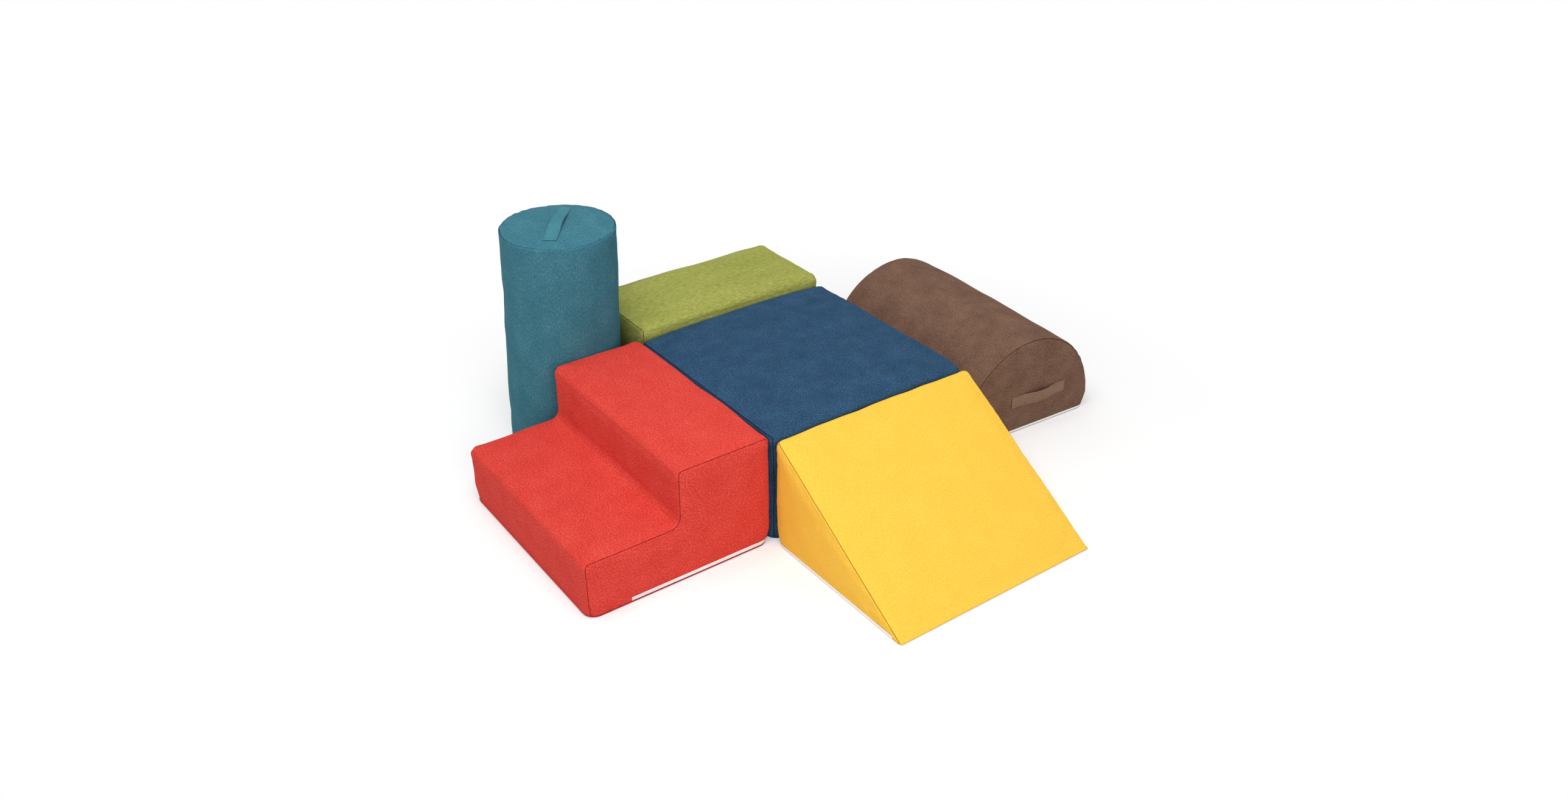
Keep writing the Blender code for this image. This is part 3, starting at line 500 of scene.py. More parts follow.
def creased(rows, normals, creases):
    """Rows with shallow folds in the cloth, each along a line between two places."""
    for start, end, depth, width in creases:
        start, end = np.array(start), np.array(end)
        way = end - start
        share = np.clip(((rows - start) @ way) / (way @ way), 0, 1)[..., None]
        reach = np.linalg.norm(rows - start - way * share, axis=2, keepdims=True)
        fade = np.sin(np.pi * (0.12 + 0.88 * share[..., :1])) ** 0.5
        rows = rows - normals * depth * fade * np.exp(-(reach / width) ** 2)
    return rows


def sew_cover(block, marks, crests, limits, seed, sags=(), creases=()):
    """The wrap and both ends of a block's cover, stuffed, worn in, split at the seams and trimmed."""
    crown = STUFFED_CROWN
    rows, left_seam, right_seam = cover_grid(marks, block.half, block.centre, crown)
    rows = stuffed(rows, (left_seam, right_seam), limits)
    rows = finer_grid(rows)
    left_seam, right_seam = 2 * left_seam, 2 * right_seam
    corners = []
    for i in crests:
        for seam in (left_seam, right_seam):
            way = Vector((marks[i][2], -1 if seam == left_seam else 1, marks[i][3])).normalized()
            corners.append((tuple(rows[seam][2 * i]), tuple(way)))
    rows, normals, near = worn_in(rows, (left_seam, right_seam), corners, seed)
    rows = creased(sagged(rows, sags), normals, creases)
    lower, _, edge = hem_levels(*block.zip_sizes)
    zip_ends = [((block.zip_end, 0, 0), (1, 0, 0))]

    def over_zip(middle):
        return middle.x < block.zip_end

    last = 2 * (len(marks) - 1) + 1
    strip, lean = rows[left_seam:right_seam + 1, :last], normals[left_seam:right_seam + 1, :last]
    first = lip(strip[0], strip[1], lean[0])[::-1]
    final = lip(strip[-1], strip[-2], lean[-1])
    cloth = np.array([*first, *strip[2:-2], *final])
    metres = np.stack([steps_along(cloth, 0), steps_along(cloth, 1)], 2)
    # Each row's distance from a seam, for the painted seam shade; the turned-in rows lie at the seam
    reach = np.array([near[left_seam, :last]] * 3 + [*near[left_seam + 2:right_seam - 1, :last]]
                     + [near[right_seam, :last]] * 3)
    mesh = trimmed(skin(cloth, False, (), metres, reach), lower, edge, zip_ends, over_zip)
    as_piece(block, "wrap_cloth", mesh, block.finish, ["wrap_panel"])
    for side, name, ring, lean, reach in (
            (-1, "left", rows[:left_seam + 1], normals[:left_seam + 1], near[:left_seam + 1]),
            (1, "right", rows[right_seam:][::-1], normals[right_seam:][::-1], near[right_seam:][::-1])):
        cloth = np.array([*ring[:-2], *lip(ring[-1], ring[-2], lean[-1])])
        # The same for an end: its turned-in rows get the darkest painted shade
        reach = np.array([*reach[:-2], *[reach[-1]] * 3])
        mesh = skin(cloth, True, (cloth[0].mean(0),), cloth[..., [0, 2]], reach)
        bmesh.ops.recalc_face_normals(mesh, faces=mesh.faces)
        if mesh.faces[0].normal.y * side < 0:
            bmesh.ops.reverse_faces(mesh, faces=mesh.faces)
        mesh = trimmed(mesh, lower, edge, zip_ends, over_zip)
        as_piece(block, name + "_end_cloth", mesh, block.finish, [name + "_end_panel"])


def saw_flat(mesh, cuts):
    """Cuts a closed mesh at planes (point, direction that stays) and closes each cut."""
    for point, way in cuts:
        geom = [*mesh.verts, *mesh.edges, *mesh.faces]
        bmesh.ops.bisect_plane(mesh, geom=geom, plane_co=point, plane_no=way, clear_inner=True, dist=1e-6)
        bmesh.ops.holes_fill(mesh, edges=[e for e in mesh.edges if e.is_boundary], sides=0)
    bmesh.ops.recalc_face_normals(mesh, faces=mesh.faces)


def cut_foam(block, slab, marks, cuts, sags=()):
    """A slab of foam that fills the cover, cut flat on the base and wherever it meets another slab."""
    rows, _, _ = cover_grid(marks, block.half, block.centre, 1, FOAM_INSET, FOAM_CELL, edge_steps=2)
    rows = sagged(rows, sags)
    mesh = skin(rows, True, (rows[0].mean(0), rows[-1].mean(0)), rows[..., [0, 2]])
    saw_flat(mesh, cuts)
    as_piece(block, slab, mesh, foam, [slab + "_core"])


def sewn_block(block, corners, folds, lift, seed, slabs, sags=(), creases=(), overhang=UNDERLAP):
    """A straight-sided block: its cover over its slabs of foam (name, cuts, sags)."""
    marks, crests = profile(corners, folds, lift, overhang=overhang)
    sew_cover(block, marks, crests, FLAT_GIVE, seed, sags, creases)
    marks, _ = profile(corners, folds, lift, FOAM_CELL, overhang)
    for name, cuts, foam_sags in slabs:
        cut_foam(block, name, marks, cuts, foam_sags)


def cut_foam_finish():
    """Open-cell polyurethane foam, sawn to size: a pale, dull surface pitted by its cells, with painted
    shade in the pits.
    """
    material, tree, shader = blank_finish("sawn polyurethane foam")
    place = add_node(tree, "ShaderNodeTexCoord").outputs["Object"]
    # Cells are 1 mm across; they are drawn 3 mm across so that they show
    cells = add_node(tree, "ShaderNodeTexVoronoi", [("Scale", 1 / 0.003)],
                     [("Vector", place)]).outputs["Distance"]
    # Painted shade: the colour is darkest at each cell's middle, where the bump sinks into a pit
    ramp = add_node(tree, "ShaderNodeValToRGB", links=[("Fac", cells)])
    ramp.color_ramp.elements[0].color = linear("#d9d2b6")
    ramp.color_ramp.elements[1].color = linear("#efe9cf")
    tree.links.new(ramp.outputs["Color"], shader.inputs["Base Color"])
    bump = add_node(tree, "ShaderNodeBump", [("Strength", 0.6), ("Distance", 0.001)], [("Height", cells)])
    tree.links.new(bump.outputs[0], shader.inputs["Normal"])
    shader.inputs["Roughness"].default_value = 0.95
    return material


def hem_path(half, leg, z, inset=0, front=None):
    """Plan of a hem at a height: one side, the back, the other side, and a front if it has one."""
    def arc(x, y, start, radius):
        turns = [start + QUARTER * step / 8 for step in range(9)]
        return [(x + (radius - inset) * math.cos(a), y + (radius - inset) * math.sin(a)) for a in turns]

    radius = float(corner_round(z))
    back = arc(radius, half - radius, QUARTER, radius) + arc(radius, radius - half, 2 * QUARTER, radius)
    if front is None:
        return [(leg, half - inset), *back, (leg, inset - half)]
    return back + arc(leg - front, front - half, -QUARTER, front) + arc(leg - front, half - front, 0, front)


def cap_ends(mesh, count):
    """Closes the first and the last row of a mesh, each of that many points, with a face."""
    mesh.verts.ensure_lookup_table()
    mesh.faces.new(mesh.verts[:count])
    mesh.faces.new(mesh.verts[-count:])
    bmesh.ops.recalc_face_normals(mesh, faces=mesh.faces)


def base_sheet(block, path_at, finish):
    """The cloth under a block: flat on the floor, with its edge turned up to the zip."""
    rim = block.zip_sizes[0]
    levels = [(0.0025, 0), (0.0009, 0.0004), (0, rim * 0.5), (0, rim - 0.0004), (0.0005, rim), (0.0012, rim),
              (0.0012, 0.0012)]
    rows = np.array([[(x, y, z) for x, y in path_at(inset)] for inset, z in levels])
    mesh = skin(rows, True, uv=rows[..., :2])
    cap_ends(mesh, rows.shape[1])
    as_piece(block, "base_cloth", mesh, finish, ["base_panel"])


def stitches(block, part, lines, normal_at, finish, pitch, length, thick, place=None):
    """Thread stitches along each line, each a slim bead that bites into the cloth at its ends."""
    mesh = bmesh.new()
    for line in lines:
        line = np.array(line)
        run = np.insert(np.cumsum(np.linalg.norm(np.diff(line, axis=0), axis=1)), 0, 0)
        for start in np.arange(pitch / 2, run[-1] - length, pitch):
            near, far = [np.array([np.interp(t, run, line[:, k]) for k in range(3)])
                         for t in (start, start + length)]
            along = (far - near) / (np.linalg.norm(far - near) + 1e-12)
            up = np.array(normal_at((near + far) / 2))
            side = np.cross(along, up)
            middle = (near + far) / 2
            ring = [mesh.verts.new(middle + v * thick) for v in (up, side, -up, -side)]
            tips = [mesh.verts.new(near - up * thick * 0.5), mesh.verts.new(far - up * thick * 0.5)]
            for k in range(4):
                for tip in tips:
                    mesh.faces.new((ring[k], ring[(k + 1) % 4], tip)).smooth = True
    bmesh.ops.recalc_face_normals(mesh, faces=mesh.faces)
    as_piece(block, part, mesh, finish, place=place)


def sew_zip(block, path_at, middle):
    """Two woven tapes sewn in round the hem, their folded edges meeting over the coil in a fine slit."""
    lower, upper, edge = hem_levels(*block.zip_sizes)
    lines = []
    for name, hem, slit in (("lower", lower, upper - SEW_GAP), ("upper", edge - SEW_GAP, upper)):
        way = math.copysign(1, hem - slit)
        section = [(0.0008, hem), (0.0002, hem), (0, hem - way * 0.0002), (0, slit + way * 0.0005),
                   (0.00015, slit + way * 0.00015), (0.0005, slit), (0.0014, slit),
                   (0.0016, slit + way * 0.0004), (0.0014, slit + way * 0.0008),
                   (0.0008, slit + way * 0.0008)]
        columns = np.array([[(x, y, z) for x, y in path_at(inset, z)] for inset, z in section])
        rows = columns.swapaxes(0, 1)
        metres = np.stack([steps_along(rows, 0), steps_along(rows, 1)], 2)
        mesh = skin(rows, True, uv=metres)
        cap_ends(mesh, len(section))
        as_piece(block, name + "_zip_cloth", mesh, zip_cloth, [f"zip_{name}_tape"])
        seam = hem + (slit - hem) * 0.22
        lines.append([(x, y, seam) for x, y in path_at(-0.0001, hem)])

    def outward_of(point):
        return Vector((*(Vector(point[:2]) - Vector(middle)), 0)).normalized()

    stitches(block, "zip_stitches", lines, outward_of, zip_thread, 0.0036, 0.0026, 0.0002)
    bpy.data.objects[block.name + "_zip_slider"].material_slots[0].material = slider_metal


def woven_tape(name, pale, dark):
    """Zip tape woven from fine white polyester: crosswise ribs, greyed between them by painted shade."""
    material, tree, shader = blank_finish(name)
    metres = add_node(tree, "ShaderNodeUVMap", [("uv_map", "cloth metres")]).outputs["UV"]
    # Ribs lie 0.6 mm apart; the wave draws them 3.8 mm apart so that they show, and greys the hollows
    # between them as painted shade. Soil is in 17 mm patches
    ribs = add_node(tree, "ShaderNodeTexWave", [("Scale", 1 / 0.0006 / 20), ("Distortion", 0.4)],
                    [("Vector", metres)]).outputs["Fac"]
    soil = add_node(tree, "ShaderNodeTexNoise", [("Scale", 60.0), ("Detail", 2.0)],
                    [("Vector", metres)]).outputs["Fac"]
    both = add_node(tree, "ShaderNodeMath", [("operation", "MULTIPLY_ADD"), (1, 0.5)],
                    [(0, ribs), (2, soil)]).outputs[0]
    ramp = add_node(tree, "ShaderNodeValToRGB", links=[("Fac", both)])
    ramp.color_ramp.elements[0].color = linear(dark)
    ramp.color_ramp.elements[1].color = linear(pale)
    tree.links.new(ramp.outputs["Color"], shader.inputs["Base Color"])
    bump = add_node(tree, "ShaderNodeBump", [("Strength", 0.4), ("Distance", 0.0002)], [("Height", ribs)])
    tree.links.new(bump.outputs[0], shader.inputs["Normal"])
    shader.inputs["Roughness"].default_value = 0.8
    return material


def plated_metal():
    """Die-cast zinc with a bright nickel plate: satin, with fine rubbed marks."""
    material, tree, shader = blank_finish("nickel plated zinc")
    place = add_node(tree, "ShaderNodeTexCoord").outputs["Object"]
    # Rubbed marks are about 1 mm long
    rubbed = add_node(tree, "ShaderNodeTexNoise", [("Scale", 1 / 0.0011), ("Detail", 3.0)],
                      [("Vector", place)]).outputs["Fac"]
    ramp = add_node(tree, "ShaderNodeValToRGB", links=[("Fac", rubbed)])
    ramp.color_ramp.elements[0].color = linear("#b9b9bb")
    ramp.color_ramp.elements[1].color = linear("#d6d6d8")
    tree.links.new(ramp.outputs["Color"], shader.inputs["Base Color"])
    bump = add_node(tree, "ShaderNodeBump", [("Strength", 0.2), ("Distance", 0.0001)], [("Height", rubbed)])
    tree.links.new(bump.outputs[0], shader.inputs["Normal"])
    shader.inputs["Metallic"].default_value = 1.0
    shader.inputs["Roughness"].default_value = 0.32
    return material


def trim_block(block, base_cloth=None, base_depth=None, front=None):
    """A block's base sheet and zip; the sheet can have its own cloth, depth and front corners."""
    rim = block.zip_sizes[0]
    depth = base_depth or block.depth
    front = front or float(corner_round(rim))
    base_cloth = base_cloth or block.finish
    base_sheet(block, lambda inset: hem_path(block.half, depth, rim, inset, front), base_cloth)
    # A narrow zip stands a little proud, so that its tape shows
    proud = 0.0008 if block.zip_sizes == NARROW_ZIP else 0
    leg = block.zip_end - SEW_GAP
    sew_zip(block, lambda inset, z: hem_path(block.half, leg, z, inset - proud), (block.zip_end / 2, 0))


foam = cut_foam_finish()
zip_cloth = woven_tape("white woven zip tape", "#ffffff", "#ececea")
zip_thread = woven_tape("white sewing thread", "#f6f5f2", "#dedbd6")
slider_metal = plated_metal()

PLATFORM_SIDE = 0.604
PLATFORM_HEIGHT = 0.300
PLATFORM_LIFT = 0.007
PLATFORM_ZIP_START = 0.110
PLATFORM_SEED = 11
platform_cloth = brushed_cloth("blue brushed polyester", "#182d43", "#2c4c69", "#456c8f")
platform = Block("platform", stand(0, 0, -QUARTER, PLATFORM_SIDE), platform_cloth, WIDE_ZIP,
                 half=PLATFORM_SIDE / 2, depth=PLATFORM_SIDE,
                 centre=(PLATFORM_SIDE / 2, PLATFORM_HEIGHT / 2), zip_end=PLATFORM_SIDE - PLATFORM_ZIP_START)
platform_corners = [(PLATFORM_SIDE, 0), (PLATFORM_SIDE, PLATFORM_HEIGHT), (0, PLATFORM_HEIGHT), (0, 0)]
# One top corner hangs, the edge by the beam bows up, and one upright edge is pressed in by its neighbours
platform_sags = [
    ((PLATFORM_SIDE, PLATFORM_SIDE / 2, PLATFORM_HEIGHT), (0, 0, -0.008), (0.055, 0.055, 0.055)),
    ((0, 0, PLATFORM_HEIGHT), (0, 0, 0.0045), (0.10, 0.22, 0.05)),
    ((PLATFORM_SIDE, -PLATFORM_SIDE / 2, 0.15), (-0.011, 0.011, 0), (0.022, 0.022, 0.10)),
]
# The foam stands on the base cloth, and stays on this side of a cut
foam_floor = ((0, 0, 0.0016), (0, 0, 1))
sewn_block(platform, platform_corners, [FOLD_ROUND, FOLD_ROUND], PLATFORM_LIFT, PLATFORM_SEED,
           [("foam", [foam_floor], platform_sags)], platform_sags)
trim_block(platform)

# Steps
# An L-shaped block of two glued foam slabs in a red cover; the cloth is pulled into the inner corner
# between tread and riser, and both ends are cut to the outline of the steps.
STEPS_WIDTH = 0.606
STEPS_DEPTH = 0.5055
STEPS_HEIGHT = 0.3065
TOP_STEP_DEPTH = 0.2545
TREAD_HEIGHT = 0.156
STEPS_SHIFT = 0.0025
STEPS_LIFT = 0.002
STEPS_ZIP_START = 0.112
STEPS_SEED = 23
INNER_FOLD_ROUND = 0.024
steps_cloth = brushed_cloth("red brushed polyester", "#b42a22", "#dc4238", "#ec6b60", patch_depth=0.2,
                            painted_seam_shade=0.81)
steps_base_cloth = brushed_cloth("crimson brushed polyester", "#861c2a", "#a82838", "#bf4450")
steps_x = -(PLATFORM_SIDE / 2 + MODULE_GAP + STEPS_DEPTH / 2)
steps = Block("steps", stand(steps_x, STEPS_SHIFT, 2 * QUARTER, STEPS_DEPTH), steps_cloth, WIDE_ZIP,
              half=STEPS_WIDTH / 2, depth=STEPS_DEPTH, centre=(TOP_STEP_DEPTH / 2, TREAD_HEIGHT / 2),
              zip_end=STEPS_DEPTH - STEPS_ZIP_START)
steps_corners = [(STEPS_DEPTH, 0), (STEPS_DEPTH, TREAD_HEIGHT), (TOP_STEP_DEPTH, TREAD_HEIGHT),
                 (TOP_STEP_DEPTH, STEPS_HEIGHT), (0, STEPS_HEIGHT), (0, 0)]
steps_folds = [FOLD_ROUND, INNER_FOLD_ROUND, FOLD_ROUND, FOLD_ROUND]
# The cloth bridges the inner corner away from its ends
steps_sags = [((TOP_STEP_DEPTH, 0, TREAD_HEIGHT), (0.0060, 0, 0.0060), (0.045, 0.22, 0.045))]
steps_creases = [
    ((0.264, 0.292, 0.159), (0.345, 0.225, 0.160), 0.0014, 0.006),
    ((0.270, 0.270, 0.160), (0.325, 0.170, 0.162), 0.0011, 0.007),
    ((0.258, 0.292, 0.166), (0.258, 0.235, 0.222), 0.0014, 0.006),
    ((0.262, 0.262, 0.170), (0.258, 0.180, 0.212), 0.0010, 0.007),
    ((0.270, -0.270, 0.160), (0.340, -0.190, 0.160), 0.0012, 0.007),
    ((0.262, -0.272, 0.170), (0.258, -0.210, 0.225), 0.0012, 0.007),
]
glue_line = TREAD_HEIGHT - FOAM_INSET
lower_cuts = [foam_floor, ((0, 0, glue_line - BLOCK_GAP), (0, 0, -1))]
upper_cuts = [((0, 0, glue_line), (0, 0, 1)), ((TOP_STEP_DEPTH, 0, 0), (-1, 0, 0))]
sewn_block(steps, steps_corners, steps_folds, STEPS_LIFT, STEPS_SEED,
           [("lower_foam", lower_cuts, ()), ("upper_foam", upper_cuts, ())], steps_sags, steps_creases)
trim_block(steps, steps_base_cloth)

# Ramp
# A wedge of foam in a yellow cover: one slope from the platform down to a thin edge on the floor. The wrap
# runs up the back and down the slope, and a triangle of cloth is sewn into each side.
RAMP_WIDTH = 0.606
RAMP_DEPTH = 0.475
RAMP_HEIGHT = 0.302
RAMP_SHIFT = 0.0045
RAMP_LIFT = 0.001
RAMP_FOLD_ROUND = 0.0095
RAMP_ZIP_START = 0.030
RAMP_SEED = 37
RAMP_NOSE_OVERHANG = 0.050
ramp_cloth = brushed_cloth("yellow brushed polyester", "#f2ba3c", "#fac848", "#ffd968", patch_depth=0.2,
                           painted_seam_shade=0.72)
ramp_y = -(PLATFORM_SIDE / 2 + MODULE_GAP + RAMP_DEPTH / 2)
ramp = Block("ramp", stand(RAMP_SHIFT, ramp_y, -QUARTER, RAMP_DEPTH), ramp_cloth, NARROW_ZIP,
             half=RAMP_WIDTH / 2, depth=RAMP_DEPTH, centre=(RAMP_DEPTH / 3, RAMP_HEIGHT / 3),
             zip_end=RAMP_DEPTH - RAMP_ZIP_START)
sewn_block(ramp, [(RAMP_DEPTH, 0), (0, RAMP_HEIGHT), (0, 0)], [RAMP_FOLD_ROUND], RAMP_LIFT, RAMP_SEED,
           [("foam", [foam_floor], ())], overhang=RAMP_NOSE_OVERHANG)
trim_block(ramp, base_depth=RAMP_DEPTH * (1 - NARROW_ZIP[0] / RAMP_HEIGHT), front=EDGE_ROUND)

# Beam
# A bar of foam in a green cover, a little taller than the platform that it stands behind; it is cut, sewn
# and zipped as the platform is, and its nap is brushed along its length.
BEAM_WIDTH = 0.590
BEAM_DEPTH = 0.2845
BEAM_HEIGHT = 0.325
BEAM_SHIFT = 0.0035
BEAM_LIFT = 0.004
BEAM_ZIP_START = 0.060
BEAM_SEED = 41
beam_cloth = brushed_cloth("green brushed polyester", "#7c8436", "#a2a551", "#bcbf74", streak=(0.25, 1))
beam_y = PLATFORM_SIDE / 2 + MODULE_GAP + BEAM_DEPTH / 2
beam = Block("beam", stand(BEAM_SHIFT, beam_y, -QUARTER, BEAM_DEPTH), beam_cloth, WIDE_ZIP,
             half=BEAM_WIDTH / 2, depth=BEAM_DEPTH, centre=(BEAM_DEPTH / 2, BEAM_HEIGHT / 2),
             zip_end=BEAM_DEPTH - BEAM_ZIP_START)
beam_corners = [(BEAM_DEPTH, 0), (BEAM_DEPTH, BEAM_HEIGHT), (0, BEAM_HEIGHT), (0, 0)]
sewn_block(beam, beam_corners, [FOLD_ROUND, FOLD_ROUND], BEAM_LIFT, BEAM_SEED, [("foam", [foam_floor], ())])
trim_block(beam)

# Half round
# A half cylinder of foam on two short upright sides, in a brown cover whose wrap runs over the curve. A
# carry strap of doubled cloth is topstitched across its near end, with a crossed box at each end.
ARCH_LENGTH = 0.633
ARCH_SPAN = 0.461
ARCH_SIDE = 0.035
ARCH_HEIGHT = 0.278
ARCH_CENTRE = (0.6004, 0.0269)
ARCH_TURN = math.radians(-3.4)
ARCH_ZIP_START = 0.060
ARCH_SEED = 53
ARCH_GIVE = (0.0022, 0.0022, 0.0022)
STRAP_WIDTH = 0.035
STRAP_SEWN_LENGTH = 0.030
ARCH_STRAP_LENGTH = 0.195
ARCH_STRAP_RISE = 0.010
ARCH_STRAP_HEIGHT = 0.104
ARCH_STRAP_OFFSET = 0.032


def half_round_profile(cell):
    """Two upright sides and half an ellipse between them."""
    reach, rise = ARCH_SPAN / 2, ARCH_HEIGHT - ARCH_SIDE
    marks = [(ARCH_SPAN, -UNDERLAP, 1, 0, 0), (ARCH_SPAN, 0, 1, 0, 0), (ARCH_SPAN, ARCH_SIDE / 2, 1, 0, 0)]
    for angle in np.linspace(0, 2 * QUARTER, round(math.pi * reach / cell) + 1):
        x, z = reach * math.cos(angle), rise * math.sin(angle)
        normal = Vector((x / reach ** 2, z / rise ** 2)).normalized()
        marks.append((reach + x, ARCH_SIDE + z, *normal, 0.002))
    marks += [(0, ARCH_SIDE / 2, -1, 0, 0), (0, 0, -1, 0, 0), (0, -UNDERLAP, -1, 0, 0)]
    return np.array(marks)


def surface_height(piece, plane):
    """Height of a piece's surface over a strap's own plane, at a place along and across the strap."""
    faces = [face.vertices for face in piece.data.polygons]
    tree = BVHTree.FromPolygons([vert.co for vert in piece.data.vertices], faces)
    down = plane.to_3x3() @ Vector((0, 0, -1))

    def height(along, across):
        hit = tree.ray_cast(plane @ Vector((along, across, 0.05)), down)[0]
        return (plane.inverted() @ hit).z

    return height


def carry_strap(block, length, rise, plane, under, finish, thread):
    """A strap of doubled cloth: flat sewn ends, a raised middle for a hand, topstitched all round."""
    height = surface_height(bpy.data.objects[f"{block.name}_{under}"], plane)
    sewn, half = STRAP_SEWN_LENGTH, STRAP_WIDTH / 2
    stitch_line, edge_height, narrowing = 0.0135, 0.0011, 0.035
    climb = (length / 2 - sewn) * 0.95
    reach = np.linspace(-length / 2, length / 2, 71)
    lifted = np.clip((length / 2 - sewn - np.abs(reach)) / climb, 0, 1)
    lifted = (1 - np.cos(2 * QUARTER * lifted)) / 2
    seat = [max(height(a, c) for c in np.linspace(-half, half, 7)) for a in reach]
    base = np.array(seat) + SEW_GAP + rise * lifted
    # Flat below, with rounded edges and two shallow channels that the edge stitching pulls in
    flank = [(0.0165, 0), (0.0172, 0.0004), (half, edge_height), (0.0172, 0.0018), (0.0160, 0.0022),
             (0.0146, 0.0022), (stitch_line, 0.0018), (0.0124, 0.0022), (0.0060, 0.0025)]
    other = [(-across, above) for across, above in flank]
    section = [other[0], *flank, (0, 0.0026), *other[:0:-1]]
    rows = []
    for i, (along, low) in enumerate(zip(reach, base)):
        thin = 0.35 if i in (0, len(reach) - 1) else 1
        narrow = 1 - narrowing * lifted[i]
        rows.append([(along, c * narrow, low + edge_height + (h - edge_height) * thin) for c, h in section])
    rows = np.array(rows)
    metres = np.stack([rows[..., 0], np.array([[c for c, _ in section]] * len(rows)) + rows[..., 2]], 2)
    mesh = skin(rows, True, uv=metres)
    cap_ends(mesh, len(section))
    as_piece(block, "strap_cloth", mesh, finish, ["carry_strap"], place=plane)

    def on_top(along, across):
        return (along, across, float(np.interp(along, reach, base)) + 0.0020)

    run = np.linspace(-length / 2 + 0.002, length / 2 - 0.002, 90)
    lines = [[on_top(a, side * stitch_line * (1 - narrowing * np.interp(a, reach, lifted))) for a in run]
             for side in (-1, 1)]
    # A crossed box of stitches holds each end down
    for end in (-1, 1):
        far, near = end * (length / 2 - 0.0035), end * (length / 2 - sewn + 0.003)
        box = [(far, -stitch_line), (far, stitch_line), (near, -stitch_line), (near, stitch_line)]
        for a, b in ((box[0], box[1]), (box[2], box[3]), (box[0], box[3]), (box[1], box[2])):
            lines.append([on_top(a[0] + (b[0] - a[0]) * t, a[1] + (b[1] - a[1]) * t)
                          for t in np.linspace(0, 1, 12)])
    stitches(block, "strap_stitches", lines, lambda place: (0, 0, 1), thread,
             0.0042, 0.0030, 0.0004, plane)


def sewing_thread(name, dark, light):
    """Thick bonded polyester thread, twisted, in a colour near the cloth's."""
    material, tree, shader = blank_finish(name)
    place = add_node(tree, "ShaderNodeTexCoord").outputs["Object"]
    # The twist turns every 0.4 mm
    twist = add_node(tree, "ShaderNodeTexNoise", [("Scale", 1 / 0.0004), ("Detail", 1.0)],
                     [("Vector", place)]).outputs["Fac"]
    ramp = add_node(tree, "ShaderNodeValToRGB", links=[("Fac", twist)])
    ramp.color_ramp.elements[0].color = linear(dark)
    ramp.color_ramp.elements[1].color = linear(light)
    tree.links.new(ramp.outputs["Color"], shader.inputs["Base Color"])
    shader.inputs["Roughness"].default_value = 0.6
    shader.inputs["Sheen Weight"].default_value = 0.2
    return material


arch_cloth = brushed_cloth("brown brushed polyester", "#543c31", "#785a4a", "#94745f", patch_depth=0.42,
                           painted_seam_shade=0.82)
arch = Block("arch", stand(*ARCH_CENTRE, 2 * QUARTER + ARCH_TURN, ARCH_SPAN), arch_cloth, NARROW_ZIP,
             half=ARCH_LENGTH / 2, depth=ARCH_SPAN, centre=(ARCH_SPAN / 2, ARCH_HEIGHT / 3),
             zip_end=ARCH_SPAN - ARCH_ZIP_START)
sew_cover(arch, half_round_profile(CELL), [], ARCH_GIVE, ARCH_SEED)
cut_foam(arch, "foam", half_round_profile(FOAM_CELL), [foam_floor])
trim_block(arch)

strap_middle = (ARCH_SPAN / 2 - ARCH_STRAP_OFFSET, ARCH_LENGTH / 2, ARCH_STRAP_HEIGHT)
strap_plane = arch.place @ Matrix.Translation(strap_middle) @ Matrix.Rotation(-QUARTER, 4, "X")
carry_strap(arch, ARCH_STRAP_LENGTH, ARCH_STRAP_RISE, strap_plane, "right_end_cloth",
            brushed_cloth("tan strap cloth", "#6e5443", "#8a6d59", "#a2856f"),
            sewing_thread("brown thread", "#38261d", "#553c2f"))

# Roll
# An upright foam cylinder in a teal tube of cloth with a round top sewn in; it has softened and leans
# a little towards the beam.
ROLL_BASE_RADIUS = 0.157
ROLL_TOP_RADIUS = 0.1505
ROLL_HEIGHT = 0.614
ROLL_LEAN = (0.0198, -0.0095)
ROLL_SEAM_ANGLE = math.radians(75)
ROLL_GIVE = (0.0025, 0.0025, 0.004)
ROLL_COLUMNS = 80
ROLL_STRAP_LENGTH = 0.217
ROLL_STRAP_RISE = 0.008
ROLL_STRAP_ANGLE = math.radians(52)
# The zip's ends, in degrees round the roll
ROLL_ZIP_FROM = 21
ROLL_ZIP_TO = 156
ROLL_SEED = 67
roll_taper = ROLL_BASE_RADIUS - ROLL_TOP_RADIUS
roll_x = BEAM_SHIFT - (BEAM_WIDTH / 2 + FACE_CROWN + BLOCK_GAP + ROLL_BASE_RADIUS
                        + (ROLL_LEAN[0] - roll_taper) * BEAM_HEIGHT / ROLL_HEIGHT)
roll_y = (STEPS_SHIFT + STEPS_WIDTH / 2 + FACE_CROWN + BLOCK_GAP + ROLL_BASE_RADIUS
          - (ROLL_LEAN[1] + roll_taper) * STEPS_HEIGHT / ROLL_HEIGHT)
roll_cloth = brushed_cloth("teal brushed polyester", "#2b5d6c", "#3e7787", "#5f939f", streak=(1, 0.55),
                           thread_depth=0.7)
roll = Block("roll", Matrix.Translation((roll_x, roll_y, 0)), roll_cloth, WIDE_ZIP)


def roll_ring(z, inset, share=1.0, columns=ROLL_COLUMNS):
    """A ring round the roll at a height, drawn in by an inset or shrunk to a share."""
    rise = z / ROLL_HEIGHT
    radius = (ROLL_BASE_RADIUS - roll_taper * rise - inset) * share
    angles = ROLL_SEAM_ANGLE + 4 * QUARTER * np.arange(columns) / columns
    return np.stack([ROLL_LEAN[0] * rise + radius * np.cos(angles),
                     ROLL_LEAN[1] * rise + radius * np.sin(angles), np.full(columns, z)], 1)


